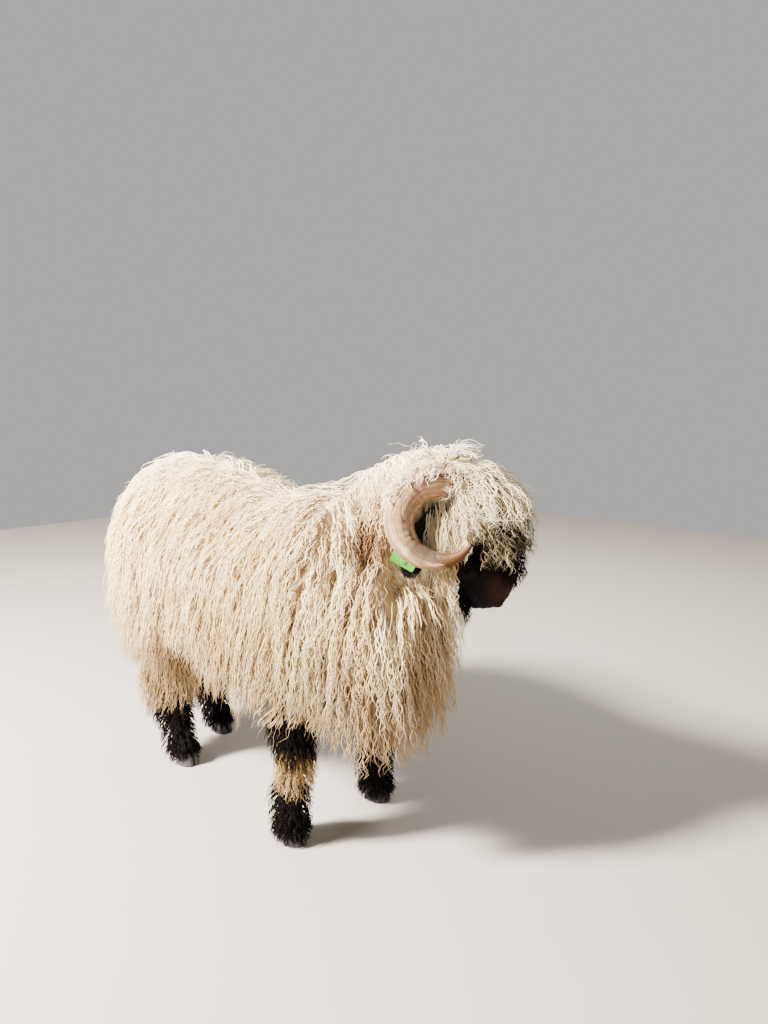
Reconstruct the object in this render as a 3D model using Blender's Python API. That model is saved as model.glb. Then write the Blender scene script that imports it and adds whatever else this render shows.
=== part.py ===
"""A standing Valais blacknose ram, life size, as a museum shows it.

Units are metres, +Z is up, the ram faces +X and its left side is +Y. The ram is laid out about a point on
the ground midway between its feet, and in the last step the whole of it is shifted so that the origin is
the middle of its footprint box on the ground.
"""

import math
import random
from collections import namedtuple

import bmesh
import bpy
from mathutils import Matrix, Vector
from mathutils.bvhtree import BVHTree

# Where two pieces meet, this much air is left between them; round each leg's own wool there is more.
GAP = 0.0004
LEG_ROOM = 0.024

# Heights over the ground.
HOOF_HEIGHT = 0.034
FETLOCK_HEIGHT = 0.085
KNEE_HEIGHT = 0.225
HOCK_HEIGHT = 0.262
LEG_TOP = 0.400
RUMP_HEIGHT = 0.806
BACK_HEIGHT = 0.727
BELLY_HEIGHT = 0.318

# The barrel and how far it reaches behind and ahead.
BARREL_HALF_WIDTH = 0.203
RUMP_END = -0.503
NECK_CUT = 0.315
SHOULDER_REACH = Vector((0.085, 0.165, 0.205))

# Where the middle of each foot stands, as (forward, left).
FEET = {
    "front_leg_right": Vector((0.268, -0.129, 0)),
    "front_leg_left": Vector((0.271, 0.129, 0)),
    "hind_leg_right": Vector((-0.217, -0.089, 0)),
    "hind_leg_left": Vector((-0.321, 0.089, 0)),
}

# The head hangs steeply from the top of the skull, turned to the ram's left.
POLL = Vector((0.5326, 0.1115, 0.8184))
HEAD_YAW = math.radians(38)
HEAD_PITCH = math.radians(80)

UP = Vector((0, 0, 1))
LEFT = Vector((0, 1, 0))
FORWARD = Vector((1, 0, 0))
AHEAD = Vector((math.cos(HEAD_YAW), math.sin(HEAD_YAW), 0))
HEAD_LEFT = Vector((-math.sin(HEAD_YAW), math.cos(HEAD_YAW), 0))
TO_NOSE = AHEAD * math.cos(HEAD_PITCH) - UP * math.sin(HEAD_PITCH)
TO_BROW = AHEAD * math.sin(HEAD_PITCH) + UP * math.cos(HEAD_PITCH)
SIDES = {"right": -1, "left": 1}

# Each horn curls once round a centre beside the skull.
HORN_CENTRE_DOWN = 0.093
HORN_CENTRE_BROW = -0.067
HORN_CURL_RADIUS = 0.071
HORN_THICKNESS = 0.031
HORN_ROOT_APART = 0.040
HORN_FLARE = 0.074
HORN_START = math.radians(52)
HORN_SWEEP = math.radians(270)

# Each eyeball, where it sits in the skull, and the lids over it.
EYE_RADIUS = 0.0135
EYE_DOWN = 0.132
EYE_BROW = 0.042
EYE_APART = 0.0495
LID_THICKNESS = 0.0032
EYE_OPENING = Vector((0.0125, 0.012, 0.0068))

EAR_THICKNESS = 0.0036
EAR_CUP = 0.010
TAG_SIZE = Vector((0.053, 0.022, 0.002))

# Kinds of wool: sizes of one lock, how deep its root is sunk and how far its tip stands off.
Wool = namedtuple("Wool", "length width thickness sink lift wave")
FLANK_WOOL = Wool(0.205, 0.102, 0.023, 0.012, 0.036, 0.007)
SPINE_WOOL = Wool(0.150, 0.102, 0.019, 0.011, 0.020, 0.006)
APRON_WOOL = Wool(0.200, 0.094, 0.022, 0.012, 0.034, 0.008)
PRESSED_WOOL = Wool(0.140, 0.084, 0.016, 0.010, 0.005, 0.003)
NAPE_WOOL = Wool(0.090, 0.074, 0.026, 0.012, 0.022, 0.006)
FORELOCK_WOOL = Wool(0.100, 0.050, 0.022, 0.010, 0.026, 0.005)
THROAT_WOOL = Wool(0.085, 0.026, 0.013, 0.006, 0.004, 0.003)
TAIL_WOOL = Wool(0.140, 0.048, 0.016, 0.008, 0.010, 0.003)
BOOT_WOOL = Wool(0.085, 0.044, 0.014, 0.007, 0.011, 0.003)
CUFF_WOOL = Wool(0.050, 0.040, 0.014, 0.007, 0.011, 0.003)
TROUSER_WOOL = Wool(0.115, 0.068, 0.018, 0.009, 0.017, 0.004)

random.seed(7)


def clear_scene():
    for old in list(bpy.data.objects):
        bpy.data.objects.remove(old, do_unlink=True)


def material(name, colour, roughness, metallic=0.0):
    made = bpy.data.materials.new(name)
    made.use_nodes = True
    shader = made.node_tree.nodes["Principled BSDF"]
    shader.inputs["Base Color"].default_value = (*colour, 1.0)
    shader.inputs["Roughness"].default_value = roughness
    shader.inputs["Metallic"].default_value = metallic
    return made


def on_head(down, brow, left=0.0):
    """A point in the head: down the face from the poll, out of the brow, and to its left."""
    return POLL + TO_NOSE * down + TO_BROW * brow + HEAD_LEFT * left


# Basic solids

def object_from(bm, name, finish):
    bmesh.ops.recalc_face_normals(bm, faces=bm.faces)
    mesh = bpy.data.meshes.new(name)
    bm.to_mesh(mesh)
    bm.free()
    made = bpy.data.objects.new(name, mesh)
    bpy.context.scene.collection.objects.link(made)
    mesh.materials.append(finish)
    return made


def oval(centre, side, up, half_width, rise, drop, count, fullness_up=1.0, fullness_down=1.0):
    """Points round an oval that may reach further up than down; a fullness under 1 squares that half."""
    points = []
    for k in range(count):
        turn = 2 * math.pi * (k + 0.5) / count
        fullness = fullness_up if math.sin(turn) > 0 else fullness_down
        across = math.copysign(abs(math.cos(turn)) ** fullness, math.cos(turn)) * half_width
        height = math.copysign(abs(math.sin(turn)) ** fullness, math.sin(turn))
        points.append(centre + side * across + up * height * (rise if height > 0 else drop))
    return points


def loft(name, rings, finish):
    """One closed body through a row of rings that all have the same number of points."""
    bm = bmesh.new()
    rows = [[bm.verts.new(point) for point in ring] for ring in rings]
    count = len(rows[0])
    for near, far in zip(rows, rows[1:]):
        for k in range(count):
            after = (k + 1) % count
            bm.faces.new((near[k], near[after], far[after], far[k]))
    for end in (rows[0], rows[-1]):
        hub = bm.verts.new(sum((corner.co for corner in end), Vector()) / count)
        for k in range(count):
            bm.faces.new((end[k], end[(k + 1) % count], hub))
    bmesh.ops.triangulate(bm, faces=bm.faces)
    return object_from(bm, name, finish)


def tube(name, path, radii, finish, count=8, side=LEFT, flat=1.0):
    rings = []
    for k, point in enumerate(path):
        along = (path[min(k + 1, len(path) - 1)] - path[max(k - 1, 0)]).normalized()
        across = (side - along * side.dot(along)).normalized()
        rings.append(oval(point, across, along.cross(across), radii[k] * flat, radii[k], radii[k], count))
    return loft(name, rings, finish)


def ball(name, centre, size, finish, segments=12, rings=8, turn=None):
    """A ball or, where size is a vector, an ellipsoid."""
    bm = bmesh.new()
    bmesh.ops.create_uvsphere(bm, u_segments=segments, v_segments=rings, radius=1)
    stretch = Vector((size, size, size)) if isinstance(size, float) else size
    bmesh.ops.scale(bm, vec=stretch, verts=bm.verts)
    if turn is not None:
        bmesh.ops.rotate(bm, verts=bm.verts, cent=(0, 0, 0), matrix=turn)
    bmesh.ops.translate(bm, vec=centre, verts=bm.verts)
    return object_from(bm, name, finish)


def box(name, low, high, finish, frame=None):
    bm = bmesh.new()
    bmesh.ops.create_cube(bm, size=1)
    bmesh.ops.scale(bm, vec=high - low, verts=bm.verts)
    bmesh.ops.translate(bm, vec=(high + low) / 2, verts=bm.verts)
    if frame is not None:
        bmesh.ops.transform(bm, matrix=frame, verts=bm.verts)
    return object_from(bm, name, finish)


def prism(name, outline, push, finish):
    """A flat outline of points, pushed out into a solid."""
    bm = bmesh.new()
    near = [bm.verts.new(point) for point in outline]
    far = [bm.verts.new(point + push) for point in outline]
    bm.faces.new(near)
    bm.faces.new(far)
    for k in range(len(outline)):
        after = (k + 1) % len(outline)
        bm.faces.new((near[k], near[after], far[after], far[k]))
    bmesh.ops.triangulate(bm, faces=bm.faces)
    return object_from(bm, name, finish)


def keep_largest(target):
    """Keeps only the largest closed surface, which drops a sealed hollow or a loose scrap."""
    bm = bmesh.new()
    bm.from_mesh(target.data)
    bmesh.ops.remove_doubles(bm, verts=bm.verts, dist=1e-6)
    unseen = set(bm.faces)
    shells = []
    while unseen:
        front = [unseen.pop()]
        shell = list(front)
        while front:
            face = front.pop()
            near = {other for edge in face.edges if edge.is_manifold for other in edge.link_faces}
            fresh = near & unseen
            unseen -= fresh
            front.extend(fresh)
            shell.extend(fresh)
        shells.append(shell)
    shells.sort(key=lambda shell: sum(face.calc_area() for face in shell))
    loose = [face for shell in shells[:-1] for face in shell]
    bmesh.ops.delete(bm, geom=loose, context="FACES")
    bm.to_mesh(target.data)
    bm.free()


def boolean(target, operation, cutters):
    """Applies one Boolean with every object in cutters, then removes them."""
    group = bpy.data.collections.new("pieces")
    bpy.context.scene.collection.children.link(group)
    for cutter in cutters:
        for home in list(cutter.users_collection):
            home.objects.unlink(cutter)
        group.objects.link(cutter)
    change = target.modifiers.new("join", "BOOLEAN")
    change.operation = operation
    change.operand_type = "COLLECTION"
    change.collection = group
    graph = bpy.context.evaluated_depsgraph_get()
    mesh = bpy.data.meshes.new_from_object(target.evaluated_get(graph))
    target.modifiers.clear()
    target.data = mesh
    for cutter in list(group.objects):
        bpy.data.objects.remove(cutter, do_unlink=True)
    bpy.data.collections.remove(group)
    keep_largest(target)
    return target


def swollen(source, by=GAP):
    """A cutter of the same form, grown by a small distance all round."""
    bm = bmesh.new()
    bm.from_mesh(source.data)
    bm.normal_update()
    for corner in bm.verts:
        corner.co += corner.normal * by * corner.calc_shell_factor()
    return object_from(bm, "swollen", source.data.materials[0])


def rounded(piece):
    """Smooth shading for a round piece."""
    piece.data.shade_smooth()
    piece.data.set_sharp_from_angle(angle=math.radians(50))
    return piece


def surface_of(source):
    bm = bmesh.new()
    bm.from_mesh(source.data)
    tree = BVHTree.FromBMesh(bm)
    bm.free()
    return tree


# Wool

# How far apart the locks of a tier are rooted, and how near the ground their tips come.
LOCK_SPACING = 0.109
FLANK_HEM = 0.262
CHEST_HEM = 0.258

# The tiers of locks: on the barrel as shares of its height, on the neck as heights over the ground, on the
# nape as rings (reach, count, first angle, spread), on the crown as rows (down the face, count, half spread).
BARREL_TIERS = (0.90, 0.735, 0.555, 0.375)
NECK_TIERS = (0.730, 0.630, 0.525, 0.415)
NAPE_RINGS = ((0.020, 3, 0, 360), (0.062, 6, 24, 360), (0.112, 3, 118, 150))
FORELOCK_ROWS = ((0.004, 4, 58), (0.042, 5, 74), (0.086, 5, 80))
SPINE_LOCKS = 7
THROAT_LOCKS = 3

# Along one lock, from its sunk root to just short of its tip: how far, how wide and how thick it is.
LOCK_STATIONS = ((0.0, 0.62, 0.6), (0.20, 1.0, 1.0), (0.60, 0.98, 1.0), (0.89, 0.60, 0.7))
CLUMP_STATIONS = ((0.0, 0.62, 0.6), (0.35, 1.0, 1.0), (0.80, 0.76, 0.85))


def lie_along(tree, root, lie, length, steps):
    """Steps over a surface the way the wool lies, and hangs straight where the surface turns under."""
    spot, out, _, _ = tree.find_nearest(root)
    track = [(spot, out)]
    hanging = False
    for _ in range(steps):
        spot, out = track[-1]
        way = lie - out * lie.dot(out)
        if hanging or out.z < -0.05:
            hanging = True
            way = Vector((lie.x * 0.3, lie.y * 0.1, -1))
        ahead = spot + way.normalized() * length / steps
        if not hanging:
            ahead, out, _, _ = tree.find_nearest(ahead)
        track.append((ahead, out))
    return track


def lock(tree, root, lie, wool, finish, stations=LOCK_STATIONS, hem=0.0):
    """One tapered lock: rooted in the surface, it bends over it and its tip stands off a little."""
    length = min(wool.length * random.uniform(0.88, 1.12), root.z - hem + random.uniform(-0.016, 0.016))
    width = wool.width * random.uniform(0.90, 1.06)
    bend = wool.wave * random.uniform(-1, 1)
    phase = random.uniform(0, math.pi)
    steps = 12
    track = lie_along(tree, root, lie, length, steps)

    def place(share):
        spot, out = track[min(steps, round(share * steps))]
        lift = -wool.sink + (wool.sink + wool.lift) * min(1.0, share * 1.25) ** 0.7
        ahead = track[min(steps, round(share * steps) + 1)][0] - track[max(0, round(share * steps) - 1)][0]
        across = ahead.cross(out).normalized()
        sway = bend * math.sin(phase + share * 5.0) * share
        return spot + out * lift + across * sway, across, out

    bm = bmesh.new()
    rows = []
    for share, broad, thick in stations:
        centre, across, out = place(share)
        half = width * broad / 2
        deep = wool.thickness * thick / 2
        corners = (across * half, out * deep, across * -half, out * -deep)
        rows.append([bm.verts.new(centre + corner) for corner in corners])
    tip = bm.verts.new(place(1.0)[0])
    for near, far in zip(rows, rows[1:]):
        for k in range(4):
            after = (k + 1) % 4
            bm.faces.new((near[k], near[after], far[after], far[k]))
    for k in range(4):
        bm.faces.new((rows[-1][k], rows[-1][(k + 1) % 4], tip))
    bm.faces.new(rows[0])
    bmesh.ops.triangulate(bm, faces=bm.faces)
    return object_from(bm, "lock", finish)


# Torso

def torso_core(finish):
    """The barrel with its dense underwool, from the rump to past the neck's cut."""
    stations = [
        (RUMP_END, 0.620, 0.480, 0.045, 0.95),
        (RUMP_END + 0.030, RUMP_HEIGHT - 0.095, 0.420, 0.105, 0.95),
        (RUMP_END + 0.085, RUMP_HEIGHT - 0.040, 0.380, 0.145, 0.90),
        (RUMP_END + 0.165, RUMP_HEIGHT - 0.008, BELLY_HEIGHT + 0.035, 0.178, 0.85),
        (-0.230, RUMP_HEIGHT, BELLY_HEIGHT + 0.015, 0.195, 0.80),
        (-0.080, RUMP_HEIGHT - 0.022, BELLY_HEIGHT, BARREL_HALF_WIDTH, 0.80),
        (0.060, BACK_HEIGHT + 0.014, BELLY_HEIGHT - 0.006, BARREL_HALF_WIDTH, 0.80),
        (0.150, BACK_HEIGHT, BELLY_HEIGHT - 0.006, 0.198, 0.80),
        (0.240, BACK_HEIGHT + 0.014, BELLY_HEIGHT, 0.182, 0.85),
        (NECK_CUT + 0.020, BACK_HEIGHT + 0.036, BELLY_HEIGHT + 0.010, 0.150, 0.90),
    ]
    rings = []
    for forward, top, bottom, half, fullness in stations:
        middle = bottom + (top - bottom) * 0.5
        rings.append(
            oval(Vector((forward, 0, middle)), LEFT, UP, half, top - middle, middle - bottom, 16, 1.0, fullness)
        )
    return loft("torso", rings, finish)


def barrel_roots(tree, share, spacing, shift):
    """Root places along one tier: down the right flank, round the rump and up the left flank."""
    straight = NECK_CUT - (-0.300)
    bend = 0.190
    whole = 2 * straight + math.pi * bend
    count = round(whole / spacing)
    places = []
    for k in range(count):
        run = (k + shift) * whole / count
        if run < straight:
            start = Vector((NECK_CUT - run, 0, 0))
            way = -LEFT
        elif run > straight + math.pi * bend:
            start = Vector((-0.300 + run - straight - math.pi * bend, 0, 0))
            way = LEFT
        else:
            turn = (run - straight) / bend
            start = Vector((-0.300, 0, 0))
            way = Vector((-math.sin(turn), -math.cos(turn), 0))
        top = tree.ray_cast(Vector((max(start.x + way.x * 0.08, RUMP_END + 0.03), 0, 1.2)), -UP)[0].z
        start.z = BELLY_HEIGHT + (top - BELLY_HEIGHT) * share
        hit = tree.ray_cast(start, way)[0]
        places.append((hit, way))
    return places


def build_torso(finish, envelopes):
    torso = torso_core(finish)
    tree = surface_of(torso)
    locks = []
    for tier, share in enumerate(BARREL_TIERS):
        for root, way in barrel_roots(tree, share, LOCK_SPACING, 0.2 + 0.5 * (tier % 2)):
            backward = 0.14 * min(1.0, (NECK_CUT - root.x) / 0.2)
            lie = Vector((-backward, 0, -1)) + way * 0.2
            locks.append(lock(tree, root, lie, FLANK_WOOL, finish, hem=FLANK_HEM))
    for side in SIDES.values():
        for k in range(SPINE_LOCKS):
            forward = NECK_CUT - 0.010 - k * LOCK_SPACING - (LOCK_SPACING / 2 if side > 0 else 0)
            root = tree.ray_cast(Vector((forward, side * 0.018, 1.2)), -UP)[0]
            locks.append(lock(tree, root, Vector((-0.12, side, -0.3)), SPINE_WOOL, finish, CLUMP_STATIONS))
    boolean(torso, "UNION", locks)
    ahead = box("ahead", Vector((NECK_CUT - GAP / 2, -0.6, 0)), Vector((0.8, 0.6, 1.2)), finish)
    boolean(torso, "DIFFERENCE", [ahead])
    for envelope in envelopes:
        boolean(torso, "DIFFERENCE", [envelope])
    return torso


# Neck

def neck_levels():
    """Level by level: height, forward, left, reach ahead, reach behind and half width."""
    return [
        (0.340, 0.385, -0.004, 0.085, 0.160, 0.105),
        (0.390, 0.385, 0.002, 0.108, 0.200, 0.135),
        (0.470, 0.385, 0.012, 0.125, 0.220, 0.150),
        (0.560, 0.390, 0.028, 0.122, 0.220, 0.130),
        (0.630, 0.400, 0.040, 0.115, 0.200, 0.090),
        (0.695, 0.420, 0.048, 0.105, 0.172, 0.066),
        (0.750, 0.438, 0.055, 0.096, 0.160, 0.056),
        (0.800, 0.456, 0.066, 0.082, 0.130, 0.050),
        (0.840, 0.470, 0.080, 0.060, 0.080, 0.042),
        (0.860, 0.478, 0.088, 0.020, 0.024, 0.018),
    ]


def neck_turn(height):
    """The neck bends to the ram's left as it rises."""
    return math.radians(4 + 20 * min(1.0, max(0.0, (height - 0.4) / 0.4)))


def neck_core(finish):
    rings = []
    for height, forward, left, front, back, half_width in neck_levels():
        turn = neck_turn(height)
        ahead = Vector((math.cos(turn), math.sin(turn), 0))
        side = Vector((-math.sin(turn), math.cos(turn), 0))
        rings.append(oval(Vector((forward, left, height)), side, ahead, half_width, front, back, 16))
    return loft("neck", rings, finish)


def neck_roots(tree, height, spacing, shift):
    """Root places round the neck at one height, from its right side past the breast to its left."""
    near = min(neck_levels(), key=lambda level: abs(level[0] - height))
    centre = Vector((near[1], near[2], height))
    turn = neck_turn(height)
    places = []
    dense = 160
    walk = 0.0
    last = None
    for k in range(dense + 1):
        angle = math.radians(-150) + math.radians(300) * k / dense
        way = Vector((math.cos(turn + angle), math.sin(turn + angle), 0))
        hit = tree.ray_cast(centre, way)[0]
        if hit is None or hit.x < NECK_CUT + 0.012:
            continue
        if last is None:
            walk = spacing * shift
        else:
            walk += (hit - last).length
        last = hit
        if walk >= spacing:
            walk -= spacing
            places.append((hit, way))
    return places


def beside_horn(point):
    """Whether a point lies in the round of a horn or over an ear, where the wool is pressed flat."""
    down = (point - POLL).dot(TO_NOSE)
    brow = (point - POLL).dot(TO_BROW)
    return ((down - 0.105) / 0.115) ** 2 + ((brow + 0.080) / 0.095) ** 2 < 1


def head_side(finish, inset):
    """The upright wedge of space that belongs to the head; the neck ends where it begins."""
    outline = [
        (-0.200, 0.000),
        (-0.012, 0.000),
        (0.015, -0.045),
        (0.060, -0.072),
        (0.160, -0.078),
        (0.200, -0.074),
        (0.330, -0.068),
        (0.600, -0.060),
        (0.600, 0.400),
        (-0.200, 0.400),
    ]
    points = [on_head(down, brow - inset * (brow <= 0), -0.135) for down, brow in outline]
    return prism("head_side", points, HEAD_LEFT * 0.27, finish)


def build_neck(finish, neighbours):
    neck = neck_core(finish)
    shoulders = ball("shoulders", Vector((NECK_CUT + 0.005, 0, 0.535)), SHOULDER_REACH, finish, 12, 7)
    boolean(neck, "UNION", [shoulders])
    tree = surface_of(neck)
    locks = []
    for tier, height in enumerate(NECK_TIERS):
        for root, way in neck_roots(tree, height, LOCK_SPACING, 0.80 - 0.45 * (tier % 2)):
            wool = PRESSED_WOOL if beside_horn(root) else APRON_WOOL
            hem = CHEST_HEM + 0.5 * max(0.0, 0.450 - root.x)
            locks.append(lock(tree, root, Vector((0, 0, -1)) + way * 0.2, wool, finish, hem=hem))
    for reach, count, first, spread in NAPE_RINGS:
        for k in range(count):
            angle = math.radians(first + spread * k / count)
            turn = neck_turn(0.8)
            way = Vector((math.cos(turn + angle), math.sin(turn + angle), 0))
            start = Vector((0.462, 0.090, 1.1)) + way * reach
            root = tree.ray_cast(start, -UP)[0]
            if root is None or root.x < NECK_CUT + 0.02 or beside_horn(root):
                continue
            lie = way * 0.6 - FORWARD * 0.5 - UP * 0.4
            locks.append(lock(tree, root, lie, NAPE_WOOL, finish, CLUMP_STATIONS))
    boolean(neck, "UNION", locks)
    behind = box("behind", Vector((-0.2, -0.6, 0)), Vector((NECK_CUT + GAP / 2, 0.6, 1.2)), finish)
    boolean(neck, "DIFFERENCE", [behind])
    boolean(neck, "DIFFERENCE", [head_side(finish, GAP)])
    for piece in neighbours:
        boolean(neck, "DIFFERENCE", [piece])
    return neck


# Head

def head_core(finish):
    """The skull and muzzle, from behind the poll to the nose."""
    stations = [
        (-0.016, 0.014, -0.045, 0.036),
        (0.008, 0.034, -0.075, 0.053),
        (0.045, 0.052, -0.092, 0.060),
        (0.090, 0.063, -0.094, 0.063),
        (0.130, 0.070, -0.090, 0.061),
        (0.165, 0.075, -0.080, 0.054),
        (0.200, 0.076, -0.066, 0.046),
        (0.232, 0.068, -0.053, 0.041),
        (0.258, 0.056, -0.043, 0.037),
        (0.278, 0.045, -0.034, 0.033),
        (0.291, 0.034, -0.024, 0.026),
        (0.299, 0.020, -0.008, 0.012),
    ]
    rings = []
    for down, brow, jaw, half in stations:
        middle = jaw + (brow - jaw) * 0.55
        centre = on_head(down, middle)
        rings.append(oval(centre, HEAD_LEFT, TO_BROW, half, brow - middle, middle - jaw, 16, 0.9, 0.9))
    return loft("head", rings, finish)


def head_frame():
    return Matrix((TO_NOSE, HEAD_LEFT, TO_BROW)).transposed()


def side_of_head(tree, down, brow, side):
    """The point on the head's surface straight out to one side."""
    return tree.ray_cast(on_head(down, brow, side * 0.2), HEAD_LEFT * -side)[0]


def mouth_line():
    """The parting of the lips, from the front of the muzzle back to its corner, as (down, brow)."""
    return [(0.300, 0.004), (0.288, -0.003), (0.272, -0.010), (0.254, -0.014), (0.236, -0.013)]


def build_lips(tree, finish):
    """A soft roll above and below the parting, on each side."""
    rolls = []
    for side in SIDES.values():
        for offset in (0.0075, -0.0075):
            path = []
            for down, brow in mouth_line()[1:]:
                path.append(side_of_head(tree, down, brow + offset, side))
            rolls.append(tube("lip", path, [0.0050, 0.0062, 0.0060, 0.0040], finish, 6, TO_BROW))
    return rolls


def mouth_cutter(core, finish):
    """A thin slot along the parting that reaches a few millimetres in."""
    line = mouth_line()
    half = 0.0011
    above = [on_head(down + 0.004 * (k == 0), brow + half, -0.08) for k, (down, brow) in enumerate(line)]
    below = [on_head(down + 0.004 * (k == 0), brow - half, -0.08) for k, (down, brow) in enumerate(line)]
    slot = prism("slot", above + list(reversed(below)), HEAD_LEFT * 0.16, finish)
    inner = core.copy()
    inner.data = core.data.copy()
    bpy.context.scene.collection.objects.link(inner)
    hub = on_head(0.215, 0.004)
    for corner in inner.data.vertices:
        corner.co = hub + (corner.co - hub) * 0.90
    return boolean(slot, "DIFFERENCE", [inner])


def build_forelock(tree, finish):
    """Rounded clumps that spring from the crown and fall over the brow and the sides of the head."""
    clumps = []
    for number, (down, count, spread) in enumerate(FORELOCK_ROWS):
        for k in range(count):
            across = -1 + 2 * (k + 0.5 * (number % 2) + 0.25) / (count - 0.5)
            angle = math.radians(spread) * across
            way = TO_BROW * math.cos(angle) + HEAD_LEFT * math.sin(angle)
            start = on_head(down, 0.0) + way * 0.3
            hit = tree.ray_cast(start, -way)[0]
            if hit is None:
                continue
            lie = TO_NOSE * 1.0 + way * 0.35 + HEAD_LEFT * across * 0.35
            clumps.append(lock(tree, hit, lie, FORELOCK_WOOL, finish))
    return clumps


def build_head(finish, wool_finish, neighbours):
    head = head_core(finish)
    bare = surface_of(head)
    slot = mouth_cutter(head, finish)
    pad = ball("pad", on_head(0.070, 0.040), Vector((0.078, 0.070, 0.050)), finish, 12, 8, head_frame())
    orbits = []
    for side in SIDES.values():
        place = on_head(EYE_DOWN, EYE_BROW, side * EYE_APART)
        orbits.append(ball("orbit", place, EYE_RADIUS + LID_THICKNESS, finish, 12, 8, head_frame()))
    boolean(head, "UNION", [pad] + orbits + build_lips(bare, finish))
    tree = surface_of(head)
    clumps = build_forelock(tree, wool_finish)
    for k in range(THROAT_LOCKS):
        root = on_head(0.228 + 0.010 * (k % 2), -0.062, -0.020 + 0.020 * k)
        clumps.append(lock(bare, root, TO_NOSE, THROAT_WOOL, finish, CLUMP_STATIONS))
    boolean(head, "UNION", clumps)
    boolean(head, "DIFFERENCE", [slot])
    for side in SIDES.values():
        nostril = on_head(0.284, 0.024, side * 0.017)
        size = Vector((0.0105, 0.0042, 0.0075))
        slant = head_frame() @ Matrix.Rotation(math.radians(side * 24), 3, "Z")
        boolean(head, "DIFFERENCE", [ball("nostril", nostril, size, finish, 8, 6, slant)])
        opening = on_head(EYE_DOWN + 0.002, EYE_BROW, side * (EYE_APART + EYE_RADIUS + 0.004))
        boolean(head, "DIFFERENCE", [ball("opening", opening, EYE_OPENING, finish, 12, 6, head_frame())])
    space = head_side(finish, 0.0)
    boolean(head, "INTERSECT", [space])
    for piece in neighbours:
        boolean(head, "DIFFERENCE", [piece])
    return head


def build_horn(name, side, finish):
    """A round curl that thins to its point, with a low ridge for each season's growth."""
    path = []
    radii = []
    steps = 28
    for k in range(steps + 1):
        share = k / steps
        angle = HORN_START + HORN_SWEEP * share
        reach = HORN_CURL_RADIUS + 0.012 * (1 - share) ** 3 + 0.020 * max(0.0, share - 0.7)
        brow = HORN_CENTRE_BROW + reach * math.cos(angle)
        down = HORN_CENTRE_DOWN - reach * math.sin(angle)
        apart = HORN_ROOT_APART + HORN_FLARE * share**0.85
        path.append(on_head(down, brow, side * apart))
        ridge = 1.0 + (0.035 if k % 3 == 1 else -0.012) * (1 - share)
        radii.append((HORN_THICKNESS * (1 - share**2.6) + 0.003) * ridge)
    return tube(name, path, radii, finish, 8, HEAD_LEFT, 0.88)


def build_ear(name, side, finish):
    """A drooping, cupped leaf that passes between the horn and the neck; its tip shows below the curl."""
    down = (0.062, 0.084, 0.112, 0.142, 0.172, 0.197)
    brow = (-0.046, -0.072, -0.098, -0.118, -0.131, -0.138)
    apart = (0.048, 0.0505, 0.0500, 0.0500, 0.0535, 0.0600)
    half = (0.012, 0.018, 0.024, 0.027, 0.023, 0.009)
    path = [on_head(*place) for place in zip(down, brow, [side * out for out in apart])]
    rings = []
    for k, centre in enumerate(path):
        along = (path[min(k + 1, len(path) - 1)] - path[max(k - 1, 0)]).normalized()
        across = (TO_BROW - along * TO_BROW.dot(along)).normalized()
        out = (HEAD_LEFT * side - along * (HEAD_LEFT * side).dot(along)).normalized()
        cup = EAR_CUP * half[k] / max(half)
        curve = [math.radians(-70 + 35 * step) for step in range(5)]
        outer = [centre + across * half[k] * math.sin(a) - out * cup * (math.cos(a) - 0.6) for a in curve]
        inner = [point + out * EAR_THICKNESS for point in reversed(outer)]
        rings.append(outer + inner)
    return loft(name, rings, finish)


def build_tag(finish):
    """The ear tag, a thin plate that hangs across the right ear."""
    centre = on_head(0.158, -0.150, -0.0635)
    along = (TO_NOSE * 0.62 + TO_BROW * 0.78).normalized()
    out = (-HEAD_LEFT + TO_NOSE * 0.10).normalized()
    out = (out - along * out.dot(along)).normalized()
    frame = Matrix((along, out.cross(along), out)).transposed().to_4x4()
    frame.translation = centre
    return box("ear_tag", TAG_SIZE * -0.5, TAG_SIZE * 0.5, finish, frame)


# Tail and legs

# The tail's middle line, from inside the rump down to its end.
TAIL_PATH = [
    Vector((-0.440, 0, 0.720)),
    Vector((-0.490, 0, 0.672)),
    Vector((-0.518, 0, 0.600)),
    Vector((-0.524, 0, 0.520)),
    Vector((-0.520, 0, 0.450)),
    Vector((-0.514, 0, 0.400)),
]


def build_tail(finish):
    tail = tube("tail", TAIL_PATH, [0.022, 0.027, 0.028, 0.025, 0.019, 0.010], finish, 8)
    tree = surface_of(tail)
    locks = []
    for height, angles in ((0.620, (-50, 0, 50)), (0.510, (-78, -26, 26, 78))):
        for angle in angles:
            way = Vector((-math.cos(math.radians(angle)), math.sin(math.radians(angle)), 0))
            root, _, _, _ = tree.find_nearest(Vector((-0.520, 0, height)) + way * 0.05)
            locks.append(lock(tree, root, way * 0.1 - UP, TAIL_WOOL, finish, CLUMP_STATIONS))
    return boolean(tail, "UNION", locks)


def tail_space(finish):
    """The room that the torso leaves round the tail and its wool."""
    root, second, third, fourth = TAIL_PATH[:4]
    path = [root + (root - second).normalized() * GAP, second, third, fourth, Vector((fourth.x, 0, 0.200))]
    return tube("space", path, [0.0225, 0.038, 0.061, 0.066, 0.066], finish, 12)


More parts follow.
